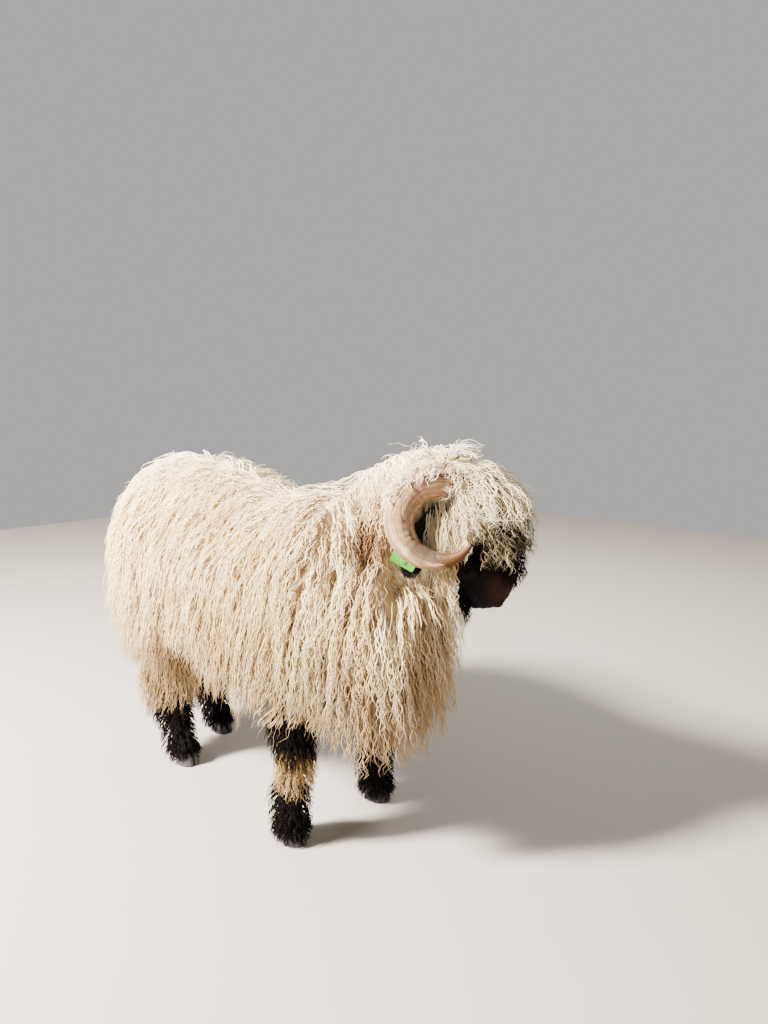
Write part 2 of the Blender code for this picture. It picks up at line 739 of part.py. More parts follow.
def leg_stations(name):
    """Down the leg: offset from the foot's middle, height and the radius of skin and underwool."""
    if name.startswith("front"):
        return (
            (-0.030, LEG_TOP, 0.046),
            (-0.014, 0.310, 0.042),
            (0.004, KNEE_HEIGHT, 0.035),
            (-0.003, 0.160, 0.029),
            (-0.008, 0.115, 0.029),
            (-0.010, FETLOCK_HEIGHT, 0.033),
            (-0.002, 0.052, 0.032),
            (0.002, HOOF_HEIGHT + GAP, 0.030),
        )
    return (
        (-0.050, LEG_TOP, 0.064),
        (-0.062, 0.330, 0.060),
        (-0.078, HOCK_HEIGHT, 0.050),
        (-0.072, 0.205, 0.040),
        (-0.060, 0.150, 0.034),
        (-0.042, FETLOCK_HEIGHT + 0.010, 0.034),
        (-0.016, 0.055, 0.032),
        (0.002, HOOF_HEIGHT + GAP, 0.030),
    )


def leg_form(name, finish, grown, reach_up=0.0):
    rings = []
    for offset, height, radius in leg_stations(name):
        centre = FEET[name] + Vector((offset, 0, height + (reach_up if height == LEG_TOP else 0)))
        rings.append(oval(centre, LEFT, FORWARD, (radius + grown) * 0.92, radius + grown, radius + grown, 10))
    return loft(name, rings, finish)


def build_leg(name, finish):
    leg = leg_form(name, finish, 0.0)
    tree = surface_of(leg)
    front = name.startswith("front")
    if front:
        tiers = ((0.225, 5, BOOT_WOOL), (0.135, 5, CUFF_WOOL))
    else:
        tiers = ((0.300, 5, TROUSER_WOOL), (0.200, 5, TROUSER_WOOL), (0.110, 4, CUFF_WOOL))
    locks = []
    for number, (height, count, wool) in enumerate(tiers):
        for k in range(count):
            angle = 2 * math.pi * (k + 0.5 * (number % 2)) / count
            way = Vector((math.cos(angle), math.sin(angle), 0))
            offset = min(leg_stations(name), key=lambda station: abs(station[1] - height))[0]
            root, _, _, _ = tree.find_nearest(FEET[name] + Vector((offset, 0, height)) + way * 0.08)
            locks.append(lock(tree, root, way * 0.1 - UP, wool, finish, CLUMP_STATIONS, HOOF_HEIGHT))
    boolean(leg, "UNION", locks)
    below = box("below", Vector((-0.7, -0.5, -0.1)), Vector((0.7, 0.5, HOOF_HEIGHT + GAP)), finish)
    return boolean(leg, "DIFFERENCE", [below])


def build_claw(name, foot, side, finish):
    """One of a hoof's two claws: flat below and on top, its toe to the front."""
    inner = side * 0.002
    outer = side * 0.027
    outline = (
        (-0.026, inner),
        (-0.028, outer * 0.6),
        (-0.018, outer * 0.95),
        (0.004, outer),
        (0.022, outer * 0.8),
        (0.033, outer * 0.35 + inner * 0.65),
        (0.034, inner),
    )
    bm = bmesh.new()
    low = [bm.verts.new(foot + Vector((x, y, 0))) for x, y in outline]
    high = []
    for x, y in outline:
        high.append(bm.verts.new(foot + Vector((x * 0.86 - 0.006, y * 0.9 + inner * 0.1, HOOF_HEIGHT))))
    bm.faces.new(low)
    bm.faces.new(high)
    for k in range(len(outline)):
        after = (k + 1) % len(outline)
        bm.faces.new((low[k], low[after], high[after], high[k]))
    bmesh.ops.triangulate(bm, faces=bm.faces)
    return object_from(bm, name, finish)


# The whole ram

clear_scene()
fleece = material("fleece", (0.80, 0.72, 0.58), 0.9)
black = material("black_wool", (0.02, 0.018, 0.017), 0.85)
horn_finish = material("horn", (0.62, 0.50, 0.38), 0.5)
hoof_finish = material("hoof", (0.35, 0.33, 0.31), 0.5)
eye_finish = material("eye", (0.10, 0.06, 0.03), 0.1)
tag_finish = material("tag", (0.25, 0.75, 0.12), 0.35)

horns = [rounded(build_horn("horn_" + word, side, horn_finish)) for word, side in SIDES.items()]
ears = [rounded(build_ear("ear_" + word, side, black)) for word, side in SIDES.items()]
tag = build_tag(tag_finish)
eyes = []
for word, side in SIDES.items():
    place = on_head(EYE_DOWN, EYE_BROW, side * EYE_APART)
    eyes.append(rounded(ball("eye_" + word, place, EYE_RADIUS, eye_finish)))
legs = [build_leg(name, black) for name in FEET]
for name, foot in FEET.items():
    for word, side in SIDES.items():
        build_claw(name.replace("_leg", "") + "_claw_" + word, foot, side, hoof_finish)
tail = build_tail(fleece)
head = build_head(black, fleece, [swollen(piece) for piece in eyes + horns + ears])
front_spaces = [leg_form(name, fleece, LEG_ROOM, GAP) for name in FEET if name.startswith("front")]
neck = build_neck(fleece, [swollen(piece) for piece in horns + ears + [tag]] + front_spaces)
leg_spaces = [leg_form(name, fleece, LEG_ROOM, GAP) for name in FEET]
torso = build_torso(fleece, leg_spaces + [tail_space(fleece)])

corners = [piece.matrix_world @ corner.co for piece in bpy.data.objects for corner in piece.data.vertices]
low = Vector([min(corner[k] for corner in corners) for k in range(3)])
high = Vector([max(corner[k] for corner in corners) for k in range(3)])
SHIFTED = -Vector(((low.x + high.x) / 2, (low.y + high.y) / 2, low.z))
for piece in bpy.data.objects:
    piece.location = SHIFTED
bpy.context.view_layer.update()
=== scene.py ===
import math
import random

import bmesh
import bpy
import numpy as np
from mathutils import Matrix, Vector
from mathutils.bvhtree import BVHTree
from mathutils.noise import noise


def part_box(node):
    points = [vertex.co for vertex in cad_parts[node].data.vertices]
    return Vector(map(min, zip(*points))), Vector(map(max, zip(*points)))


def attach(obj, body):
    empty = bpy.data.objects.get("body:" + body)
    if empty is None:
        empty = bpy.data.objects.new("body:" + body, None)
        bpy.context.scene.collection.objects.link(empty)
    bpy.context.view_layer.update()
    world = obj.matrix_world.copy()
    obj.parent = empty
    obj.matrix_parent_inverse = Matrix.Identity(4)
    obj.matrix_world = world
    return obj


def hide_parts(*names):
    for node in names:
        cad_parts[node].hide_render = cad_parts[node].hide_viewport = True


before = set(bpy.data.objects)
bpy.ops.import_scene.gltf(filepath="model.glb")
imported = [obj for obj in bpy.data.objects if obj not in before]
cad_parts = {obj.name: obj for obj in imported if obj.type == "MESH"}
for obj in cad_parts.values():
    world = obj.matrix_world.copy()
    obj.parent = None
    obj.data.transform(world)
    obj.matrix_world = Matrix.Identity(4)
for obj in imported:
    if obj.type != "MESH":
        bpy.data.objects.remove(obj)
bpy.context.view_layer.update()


# Where the ram stands. The ram is laid out about a point on the ground midway between its feet; the packed
# part is shifted from there, by as much as its right front hoof is.

UP = Vector((0, 0, 1))
LEFT = Vector((0, 1, 0))
FORWARD = Vector((1, 0, 0))
SIDES = {"right": -1, "left": 1}
HOOF_PLACE = Vector((0.271, -0.1435, 0))
hoof_low, hoof_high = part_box("front_right_claw_right")
SHIFT = (hoof_low + hoof_high) / 2 - HOOF_PLACE
SHIFT.z = 0


# The floor is a wide, flat, pale studio floor with a faint grain.

def group_in(tree, name, place=(0, 0)):
    node = tree.nodes.new("ShaderNodeGroup")
    node.node_tree = bpy.data.node_groups[name]
    node.location = place
    return node


def new_material(name, roughness):
    made = bpy.data.materials.new(name)
    made.use_nodes = True
    shader = made.node_tree.nodes["Principled BSDF"]
    shader.inputs["Roughness"].default_value = roughness
    return made, made.node_tree, shader


FLOOR_HALF = 4.5
FLOOR_COLOUR = (0.33, 0.295, 0.26, 1)
bm = bmesh.new()
bmesh.ops.create_grid(bm, x_segments=1, y_segments=1, size=FLOOR_HALF)
floor_mesh = bpy.data.meshes.new("studio_floor")
bm.to_mesh(floor_mesh)
bm.free()
floor = bpy.data.objects.new("studio_floor", floor_mesh)
bpy.context.scene.collection.objects.link(floor)
floor_material, tree, shader = new_material("pale_floor", 0.75)
shader.inputs["Base Color"].default_value = FLOOR_COLOUR
grain = tree.nodes.new("ShaderNodeTexNoise")
grain.inputs["Scale"].default_value = 60
bump = tree.nodes.new("ShaderNodeBump")
bump.inputs["Strength"].default_value = 0.05
tree.links.new(grain.outputs["Fac"], bump.inputs["Height"])
tree.links.new(bump.outputs["Normal"], shader.inputs["Normal"])
floor_mesh.materials.append(floor_material)


# The camera looks from the ram's front right, a little over its back, and soft boxes light it from above.

CAMERA_PLACE = Vector((1.4931631, -1.114046, 0.95)) + SHIFT
CAMERA_AHEAD = Vector((-0.69410264, 0.71987605, 0))
CAMERA_TILT = math.radians(8.2759)
camera_data = bpy.data.cameras.new("camera")
camera_data.lens = 27.07
camera_data.sensor_width = 36
camera = bpy.data.objects.new("camera", camera_data)
bpy.context.scene.collection.objects.link(camera)
camera.location = CAMERA_PLACE
look = CAMERA_AHEAD * math.cos(CAMERA_TILT) - UP * math.sin(CAMERA_TILT)
camera.rotation_mode = "QUATERNION"
camera.rotation_quaternion = look.to_track_quat("-Z", "Y")
bpy.context.scene.camera = camera

LAMPS = (
    ("key", Vector((-1.3, -2.7, 2.75)), 0.6, 2150, (1.0, 0.94, 0.84)),
    ("fill", Vector((3.2, -1.2, 1.5)), 2.4, 16, (1.0, 0.97, 0.93)),
    ("rim", Vector((-0.6, 2.6, 2.6)), 1.6, 90, (1.0, 0.97, 0.93)),
)
for name, place, size, power, colour in LAMPS:
    light_data = bpy.data.lights.new(name, "AREA")
    light_data.size = size
    light_data.energy = power
    light_data.color = colour
    light = bpy.data.objects.new(name, light_data)
    bpy.context.scene.collection.objects.link(light)
    light.location = place
    light.rotation_mode = "QUATERNION"
    light.rotation_quaternion = (Vector((0, 0, 0.45)) - place).to_track_quat("-Z", "Y")
world = bpy.data.worlds.new("studio")
world.use_nodes = True
world.node_tree.nodes["Background"].inputs["Color"].default_value = (0.93, 0.915, 0.89, 1)
world.node_tree.nodes["Background"].inputs["Strength"].default_value = 0.54
bpy.context.scene.world = world


# The skin is one closed body under all the wool: barrel, neck, legs and tail are blended together, and the
# head, which shows its own short black coat, is worked finer and joined on.

POLL = Vector((0.5326, 0.1115, 0.8184)) + SHIFT
HEAD_YAW = math.radians(38)
HEAD_PITCH = math.radians(80)
AHEAD = Vector((math.cos(HEAD_YAW), math.sin(HEAD_YAW), 0))
HEAD_LEFT = Vector((-math.sin(HEAD_YAW), math.cos(HEAD_YAW), 0))
TO_NOSE = AHEAD * math.cos(HEAD_PITCH) - UP * math.sin(HEAD_PITCH)
TO_BROW = AHEAD * math.sin(HEAD_PITCH) + UP * math.cos(HEAD_PITCH)
HEAD_TURN = Matrix((TO_NOSE, HEAD_LEFT, TO_BROW)).transposed()
SKIN_INSET = 0.005
BODY_VOXEL = 0.008
HEAD_VOXEL = 0.0024
EYE_RADIUS = 0.0135
EYE_PLACE = (0.132, 0.042, 0.0495)

FEET = {
    "front_leg_right": Vector((0.268, -0.129, 0)) + SHIFT,
    "front_leg_left": Vector((0.271, 0.129, 0)) + SHIFT,
    "hind_leg_right": Vector((-0.217, -0.089, 0)) + SHIFT,
    "hind_leg_left": Vector((-0.321, 0.089, 0)) + SHIFT,
}
# Down each leg: offset from the foot's middle, height and radius.
FRONT_LEG = (
    (-0.020, 0.400, 0.046),
    (-0.002, 0.310, 0.042),
    (0.013, 0.225, 0.035),
    (0.002, 0.160, 0.029),
    (-0.008, 0.115, 0.029),
    (-0.010, 0.085, 0.033),
    (-0.002, 0.052, 0.032),
    (0.002, 0.034, 0.030),
)
HIND_LEG = (
    (-0.050, 0.400, 0.064),
    (-0.062, 0.330, 0.060),
    (-0.078, 0.262, 0.050),
    (-0.072, 0.205, 0.040),
    (-0.060, 0.150, 0.034),
    (-0.042, 0.095, 0.034),
    (-0.016, 0.055, 0.032),
    (0.002, 0.034, 0.030),
)
# Along the barrel: forward, top, bottom, half width and how square its lower half is.
BARREL = (
    (-0.503, 0.620, 0.480, 0.045, 0.95),
    (-0.473, 0.711, 0.420, 0.105, 0.95),
    (-0.418, 0.766, 0.380, 0.145, 0.90),
    (-0.338, 0.798, 0.353, 0.178, 0.85),
    (-0.230, 0.806, 0.333, 0.195, 0.80),
    (-0.080, 0.784, 0.318, 0.203, 0.80),
    (0.060, 0.741, 0.312, 0.203, 0.80),
    (0.150, 0.727, 0.312, 0.198, 0.80),
    (0.240, 0.741, 0.318, 0.182, 0.85),
    (0.335, 0.763, 0.328, 0.150, 0.90),
)
# Up the neck: height, forward, left, reach ahead, reach behind and half width.
NECK = (
    (0.340, 0.385, -0.004, 0.085, 0.160, 0.105),
    (0.390, 0.385, 0.002, 0.108, 0.200, 0.135),
    (0.470, 0.385, 0.012, 0.125, 0.220, 0.150),
    (0.560, 0.390, 0.028, 0.122, 0.220, 0.130),
    (0.630, 0.400, 0.040, 0.115, 0.200, 0.090),
    (0.695, 0.420, 0.048, 0.105, 0.172, 0.066),
    (0.750, 0.438, 0.055, 0.096, 0.160, 0.056),
    (0.800, 0.456, 0.066, 0.082, 0.130, 0.050),
    (0.840, 0.470, 0.080, 0.060, 0.080, 0.042),
    (0.860, 0.478, 0.088, 0.020, 0.024, 0.018),
)
TAIL = ((-0.440, 0.720, 0.022), (-0.490, 0.672, 0.027), (-0.518, 0.600, 0.028), (-0.524, 0.520, 0.025),
        (-0.520, 0.450, 0.019), (-0.514, 0.400, 0.010))
# Down the skull: how far down, brow, jaw and half width.
SKULL = (
    (-0.016, 0.010, -0.045, 0.034),
    (0.008, 0.030, -0.072, 0.051),
    (0.045, 0.048, -0.089, 0.057),
    (0.090, 0.059, -0.091, 0.058),
    (0.125, 0.066, -0.087, 0.055),
    (0.150, 0.074, -0.080, 0.050),
    (0.175, 0.080, -0.072, 0.045),
    (0.200, 0.081, -0.063, 0.041),
    (0.225, 0.077, -0.054, 0.038),
    (0.248, 0.068, -0.046, 0.036),
    (0.266, 0.058, -0.039, 0.034),
    (0.281, 0.047, -0.031, 0.030),
    (0.291, 0.034, -0.021, 0.022),
    (0.296, 0.018, -0.008, 0.010),
)


def on_head(down, brow, left=0.0):
    return POLL + TO_NOSE * down + TO_BROW * brow + HEAD_LEFT * left


def add_ring(bm, centre, side, up, half_width, rise, drop, count=24, full_up=1.0, full_down=1.0):
    """A circle of vertices, squeezed to an oval that may reach further up than down."""
    made = bmesh.ops.create_circle(bm, segments=count, radius=1)["verts"]
    for corner in made:
        x, y = corner.co.x, corner.co.y
        full = full_up if y > 0 else full_down
        across = math.copysign(abs(x) ** full, x) * half_width
        height = math.copysign(abs(y) ** full, y) * (rise if y > 0 else drop)
        corner.co = centre + side * across + up * height
    return list({edge for corner in made for edge in corner.link_edges})


def bridge(bm, rings):
    """Skins a row of rings into one closed form."""
    for near, far in zip(rings, rings[1:]):
        bmesh.ops.bridge_loops(bm, edges=near + far)
    for end in (rings[0], rings[-1]):
        bmesh.ops.holes_fill(bm, edges=end, sides=0)


def add_tube(bm, path, radii, side=LEFT, count=12, flat=1.0):
    rings = []
    for k, point in enumerate(path):
        along = (path[min(k + 1, len(path) - 1)] - path[max(k - 1, 0)]).normalized()
        across = (side - along * side.dot(along)).normalized()
        rings.append(add_ring(bm, point, across, along.cross(across), radii[k] * flat, radii[k], radii[k], count))
    bridge(bm, rings)


def add_ball(bm, centre, size, turn=None, segments=24):
    made = bmesh.ops.create_uvsphere(bm, u_segments=segments, v_segments=segments // 2, radius=1)["verts"]
    bmesh.ops.scale(bm, vec=size, verts=made)
    if turn is not None:
        bmesh.ops.rotate(bm, verts=made, cent=(0, 0, 0), matrix=turn)
    bmesh.ops.translate(bm, vec=centre, verts=made)


def object_from(bm, name):
    mesh = bpy.data.meshes.new(name)
    bm.to_mesh(mesh)
    bm.free()
    made = bpy.data.objects.new(name, mesh)
    bpy.context.scene.collection.objects.link(made)
    return made


def apply_modifiers(target):
    graph = bpy.context.evaluated_depsgraph_get()
    mesh = bpy.data.meshes.new_from_object(target.evaluated_get(graph))
    target.modifiers.clear()
    target.data = mesh
    return target


def remeshed(target, voxel, passes):
    """Melts overlapping closed forms into one even surface, then eases it."""
    change = target.modifiers.new("melt", "REMESH")
    change.mode = "VOXEL"
    change.voxel_size = voxel
    apply_modifiers(target)
    bm = bmesh.new()
    bm.from_mesh(target.data)
    for _ in range(passes):
        bmesh.ops.smooth_vert(bm, verts=bm.verts, factor=0.5, use_axis_x=True, use_axis_y=True, use_axis_z=True)
    bm.to_mesh(target.data)
    bm.free()
    return target


def cut(target, cutter, operation="DIFFERENCE", solver="EXACT"):
    change = target.modifiers.new("cut", "BOOLEAN")
    change.operation = operation
    change.solver = solver
    change.object = cutter
    apply_modifiers(target)
    bpy.data.objects.remove(cutter, do_unlink=True)


# Down the ear: how far down, brow, apart and half width.
EAR = (
    (0.062, -0.046, 0.0480, 0.012),
    (0.084, -0.072, 0.0505, 0.018),
    (0.112, -0.098, 0.0500, 0.024),
    (0.142, -0.118, 0.0500, 0.027),
    (0.172, -0.131, 0.0535, 0.025),
    (0.187, -0.136, 0.0570, 0.0200),
    (0.1985, -0.1385, 0.0600, 0.008),
)
TUCKED = 0.040


def head_places(points):
    """Each point's place down the face, out of the brow and to the head's left."""
    away = points - np.array(POLL)
    return away @ np.array(TO_NOSE), away @ np.array(TO_BROW), away @ np.array(HEAD_LEFT)


def ramp(values, low, high):
    """0 below low, 1 above high, and smooth between."""
    share = np.clip((values - low) / (high - low), 0, 1)
    return share * share * (3 - 2 * share)


def tucked(points, rest):
    """Presses what lies behind an ear in towards the neck, which leaves room for the ear and the tag."""
    down, brow, left = head_places(points)
    gap = np.min([np.hypot(down - row[0], brow - row[1]) for row in EAR[2:]], axis=0)
    over = np.maximum(0, np.abs(left) - rest) * (1 - ramp(gap, 0.030, 0.060)) * (1 - ramp(np.abs(left), 0.10, 0.14))
    return points - np.outer(np.sign(left) * over, np.array(HEAD_LEFT))


def points_of(mesh):
    flat = np.empty(len(mesh.vertices) * 3, np.float32)
    mesh.vertices.foreach_get("co", flat)
    return flat.reshape(-1, 3).astype(float)


bm = bmesh.new()
rings = []
for forward, top, bottom, half, fullness in BARREL:
    middle = (top + bottom) / 2
    centre = Vector((forward, 0, middle)) + SHIFT
    rise = (top - bottom) / 2 - SKIN_INSET
    rings.append(add_ring(bm, centre, LEFT, UP, half - SKIN_INSET, rise, rise, 32, 1.0, fullness))
bridge(bm, rings)
rings = []
for height, forward, left, front, back, half in NECK:
    turn = math.radians(4 + 20 * min(1.0, max(0.0, (height - 0.4) / 0.4)))
    ahead = Vector((math.cos(turn), math.sin(turn), 0))
    centre = Vector((forward, left, height - SKIN_INSET)) + SHIFT
    side = Vector((-ahead.y, ahead.x, 0))
    rings.append(add_ring(bm, centre, side, ahead, half - SKIN_INSET, front - SKIN_INSET, back - SKIN_INSET, 32))
bridge(bm, rings)
add_ball(bm, Vector((0.320, 0, 0.535)) + SHIFT, (0.080, 0.160, 0.200))
for name, foot in FEET.items():
    stations = FRONT_LEG if name.startswith("front") else HIND_LEG
    path = [foot + Vector((offset, 0, height)) for offset, height, radius in stations]
    path.insert(0, path[0] + UP * 0.08)
    radii = [stations[0][2]] + [radius - 0.003 for offset, height, radius in stations]
    rings = [add_ring(bm, p, LEFT, FORWARD, r * 0.92, r, r, 20) for p, r in zip(path, radii)]
    bridge(bm, rings)
add_tube(bm, [Vector((x, 0, z)) + SHIFT for x, z, r in TAIL], [r - 0.003 for x, z, r in TAIL])
bmesh.ops.recalc_face_normals(bm, faces=bm.faces)
skin = remeshed(object_from(bm, "skin"), BODY_VOXEL, 8)
skin.data.vertices.foreach_set("co", tucked(points_of(skin.data), TUCKED).astype(np.float32).ravel())

# The skull with its brow, eye rims, cheeks, lips, nostril wings and chin, before the openings are cut.
MOUTH = ((0.297, 0.004), (0.286, -0.003), (0.270, -0.010), (0.253, -0.014), (0.238, -0.013))
bm = bmesh.new()
rings = []
for down, brow, jaw, half in SKULL:
    middle = jaw + (brow - jaw) * 0.55
    centre = on_head(down, middle)
    rings.append(add_ring(bm, centre, HEAD_LEFT, TO_BROW, half, brow - middle, middle - jaw, 32, 0.88, 0.92))
bridge(bm, rings)
add_ball(bm, on_head(0.072, 0.030), (0.070, 0.060, 0.038), HEAD_TURN)
for side in SIDES.values():
    down, brow, apart = EYE_PLACE
    add_ball(bm, on_head(down, brow, side * apart), (0.0172, 0.0160, 0.0160), HEAD_TURN)
    add_ball(bm, on_head(down - 0.004, brow + 0.018, side * (apart - 0.006)), (0.026, 0.011, 0.010), HEAD_TURN)
    add_ball(bm, on_head(0.175, -0.028, side * 0.033), (0.050, 0.017, 0.036), HEAD_TURN)
    add_ball(bm, on_head(0.280, 0.026, side * 0.018), (0.016, 0.010, 0.013), HEAD_TURN)
    for offset, radius in ((0.0068, 0.0058), (-0.0070, 0.0062)):
        path = []
        for down, brow in MOUTH:
            share = (down - MOUTH[-1][0]) / (MOUTH[0][0] - MOUTH[-1][0])
            path.append(on_head(down - 0.004, brow + offset, side * (0.0315 - 0.022 * share**2.2)))
        add_tube(bm, path, [radius * 0.85, radius, radius, radius * 0.95, radius * 0.6], TO_BROW, 10)
add_ball(bm, on_head(0.278, -0.020), (0.017, 0.020, 0.014), HEAD_TURN)
bmesh.ops.recalc_face_normals(bm, faces=bm.faces)
skull = remeshed(object_from(bm, "skull"), HEAD_VOXEL, 3)


def skull_point(down, brow, angle, side):
    """Where a ray from inside the muzzle comes out of it."""
    way = TO_NOSE * math.cos(angle) + HEAD_LEFT * side * math.sin(angle)
    start = on_head(down, brow)
    hit = skull_tree.ray_cast(start + way * 0.1, -way)[0]
    return hit, way


def tree_of(source):
    bm = bmesh.new()
    bm.from_mesh(source.data)
    made = BVHTree.FromBMesh(bm)
    bm.free()
    return made


# Stations round the muzzle, back from the middle of the lips: inside point and how far to the side.
LIP_STATIONS = (
    (0.262, 0.003, 0),
    (0.262, 0.002, 14),
    (0.262, -0.001, 30),
    (0.260, -0.006, 50),
    (0.258, -0.010, 72),
    (0.250, -0.0130, 90),
    (0.240, -0.0135, 90),
    (0.232, -0.0130, 90),
)
SLOT_HALF = 0.0008
SLOT_DEPTH = 0.006
skull_tree = tree_of(skull)
bm = bmesh.new()
rings = []
stations = [(station, -1) for station in reversed(LIP_STATIONS)] + [(station, 1) for station in LIP_STATIONS[1:]]
lip_line = []
for (down, brow, angle), side in stations:
    hit, way = skull_point(down, brow, math.radians(angle), side)
    lip_line.append(tuple(hit))
    corners = [hit + way * 0.004 + TO_BROW * SLOT_HALF, hit - way * SLOT_DEPTH + TO_BROW * SLOT_HALF * 0.4,
               hit - way * SLOT_DEPTH - TO_BROW * SLOT_HALF * 0.4, hit + way * 0.004 - TO_BROW * SLOT_HALF]
    ring = [bm.verts.new(corner) for corner in corners]
    rings.append([bm.edges.new((ring[k], ring[(k + 1) % 4])) for k in range(4)])
bridge(bm, rings)
bmesh.ops.recalc_face_normals(bm, faces=bm.faces)
cut(skull, object_from(bm, "slot"))
for side in SIDES.values():
    bm = bmesh.new()
    slant = HEAD_TURN @ Matrix.Rotation(math.radians(side * 28), 3, "Z")
    add_ball(bm, on_head(0.2875, 0.0300, side * 0.0150), (0.0105, 0.0036, 0.0075), slant, 16)
    cut(skull, object_from(bm, "nostril"))
    down, brow, apart = EYE_PLACE
    bm = bmesh.new()
    add_ball(bm, on_head(down, brow, side * apart), (EYE_RADIUS + 0.0003,) * 3, None, 24)
    cut(skull, object_from(bm, "socket"))
    bm = bmesh.new()
    add_ball(bm, on_head(down + 0.001, brow, side * (apart + EYE_RADIUS)), (0.0118, 0.012, 0.0066), HEAD_TURN, 20)
    cut(skull, object_from(bm, "opening"))
cut(skin, skull, "UNION", "MANIFOLD")


def paleness(points):
    """The breed's markings: 1 where the wool is cream, 0 where it is black."""
    rough = np.array([noise(Vector(point) * 38.0) for point in points]) * 0.012
    down, brow, left = head_places(points)
    face = ramp(down + rough, 0.088, 0.102) * ramp(brow + rough, -0.098, -0.084) * (np.abs(left) < 0.09)
    face = np.maximum(face, ramp(down + rough, 0.05, 0.07) * ramp(-brow, 0.02, 0.04) * ramp(brow, -0.10, -0.09)
                      * (np.abs(left) < 0.062))
    pale = 1 - face
    height = points[:, 2] + rough
    for name, foot in FEET.items():
        near = np.hypot(points[:, 0] - foot.x + 0.03, points[:, 1] - foot.y) < 0.16
        near = near & (points[:, 2] < 0.36)
        if name == "front_leg_right":
            black = np.maximum(ramp(-height, -0.126, -0.114), ramp(height, 0.176, 0.188) * ramp(-height, -0.36, -0.35))
        elif name == "front_leg_left":
            black = ramp(-height, -0.142, -0.130)
        elif name == "hind_leg_right":
            black = ramp(-height, -0.146, -0.132)
        else:
            black = ramp(-height, -0.168, -0.150)
        pale = np.where(near, np.minimum(pale, 1 - black), pale)
    return pale


def mark(mesh, name, values):
    mesh.attributes.new(name, "FLOAT", "POINT").data.foreach_set("value", np.asarray(values, np.float32))


# Wool colour: cream, or a brownish black. Both are painted darker towards the root, as painted shade between
# the locks, and paler towards the tip. The cream is painted paler along the back as painted sunlight, darker
# and more amber low down as painted shade, orange-brown where the neck is stained, and browner on the thigh
# under the flank as painted shade with some dirt. The black is painted brown round the muzzle as a painted
# highlight.
wool_group = bpy.data.node_groups.new("wool_colour", "ShaderNodeTree")
for socket in ("Pale", "Tone_and_shade", "Along"):
    wool_group.interface.new_socket(socket, in_out="INPUT", socket_type="NodeSocketFloat")
wool_group.interface.new_socket("Color", in_out="OUTPUT", socket_type="NodeSocketColor")


def mix_colours(tree, factor, first, second, blend="MIX"):
    """A colour mix whose inputs may be sockets or fixed values."""
    node = tree.nodes.new("ShaderNodeMix")
    node.data_type = "RGBA"
    node.blend_type = blend
    for socket, value in ((node.inputs["Factor"], factor), (node.inputs[6], first), (node.inputs[7], second)):
        if isinstance(value, bpy.types.NodeSocket):
            tree.links.new(value, socket)
        else:
            socket.default_value = value
    return node.outputs[2]


def scaled(tree, value, low, high, to_low=0.0, to_high=1.0):
    node = tree.nodes.new("ShaderNodeMapRange")
    tree.links.new(value, node.inputs["Value"])
    for name, number in (("From Min", low), ("From Max", high), ("To Min", to_low), ("To Max", to_high)):
        node.inputs[name].default_value = number
    return node.outputs["Result"]


def maths(tree, operation, first, second):
    node = tree.nodes.new("ShaderNodeMath")
    node.operation = operation
    for socket, value in zip(node.inputs, (first, second)):
        if isinstance(value, bpy.types.NodeSocket):
            tree.links.new(value, socket)
        else:
            socket.default_value = value
    return node.outputs[0]


# Painted shade at the roots of the cream wool, between the locks.
CREAM_SHADED_ROOT = (0.11, 0.045, 0.010, 1)
CREAM_MIDDLE = (0.62, 0.385, 0.140, 1)
CREAM_TIP = (0.99, 0.86, 0.56, 1)
# Painted sunlight along the top of the back.
CREAM_SUNLIT_BACK = (0.98, 0.88, 0.66, 1)
# Painted shade on the lower wool.
CREAM_SHADED_LOW = (0.25, 0.140, 0.042, 1)
# A real stain's colour on the neck, also used on the thigh as painted shade with some dirt.
STAIN_AND_SHADE_BROWN = (0.17, 0.06, 0.014, 1)
# Painted shade at the roots of the black wool.
BLACK_SHADED_ROOT = (0.002, 0.0015, 0.0015, 1)
BLACK_TIP = (0.005, 0.003, 0.0024, 1)
# A painted highlight on the black muzzle.
LIP_HIGHLIGHT_BROWN = (0.050, 0.020, 0.011, 1)
STAIN_PLACE = Vector((0.425, -0.060, 0.660)) + SHIFT
# Where the thigh under the flank gets painted shade with some dirt.
THIGH_SHADE_AND_STAIN_PLACE = Vector((-0.085, -0.170, 0.300)) + SHIFT
# Where the painted highlight on the muzzle is centred.
LIP_HIGHLIGHT_PLACE = on_head(0.252, 0.034)
inputs = wool_group.nodes.new("NodeGroupInput")
outputs = wool_group.nodes.new("NodeGroupOutput")
place = wool_group.nodes.new("ShaderNodeTexCoord").outputs["Object"]
height = wool_group.nodes.new("ShaderNodeSeparateXYZ")
wool_group.links.new(place, height.inputs[0])


def away_from(tree, place, spot):
    node = tree.nodes.new("ShaderNodeVectorMath")
    node.operation = "DISTANCE"
    tree.links.new(place, node.inputs[0])
    node.inputs[1].default_value = spot
    return node.outputs["Value"]


# Painted shade: each strand is darkest at its root and paler towards its tip.
cream = mix_colours(wool_group, scaled(wool_group, inputs.outputs["Along"], 0.0, 0.36), CREAM_SHADED_ROOT, CREAM_MIDDLE)
# The tone is partly painted shade in the shallower bands between clumps and partly a random tone.
depth = maths(wool_group, "ADD", maths(wool_group, "MULTIPLY", inputs.outputs["Along"], 0.6), inputs.outputs["Tone_and_shade"])
cream = mix_colours(wool_group, scaled(wool_group, depth, 0.35, 1.15), cream, CREAM_TIP)
# Painted sunlight: the wool is paler along the top of the back.
sunlit_top = maths(wool_group, "MULTIPLY", scaled(wool_group, height.outputs["Z"], 0.66, 0.82), 0.7)
cream = mix_colours(wool_group, sunlit_top, cream, CREAM_SUNLIT_BACK)
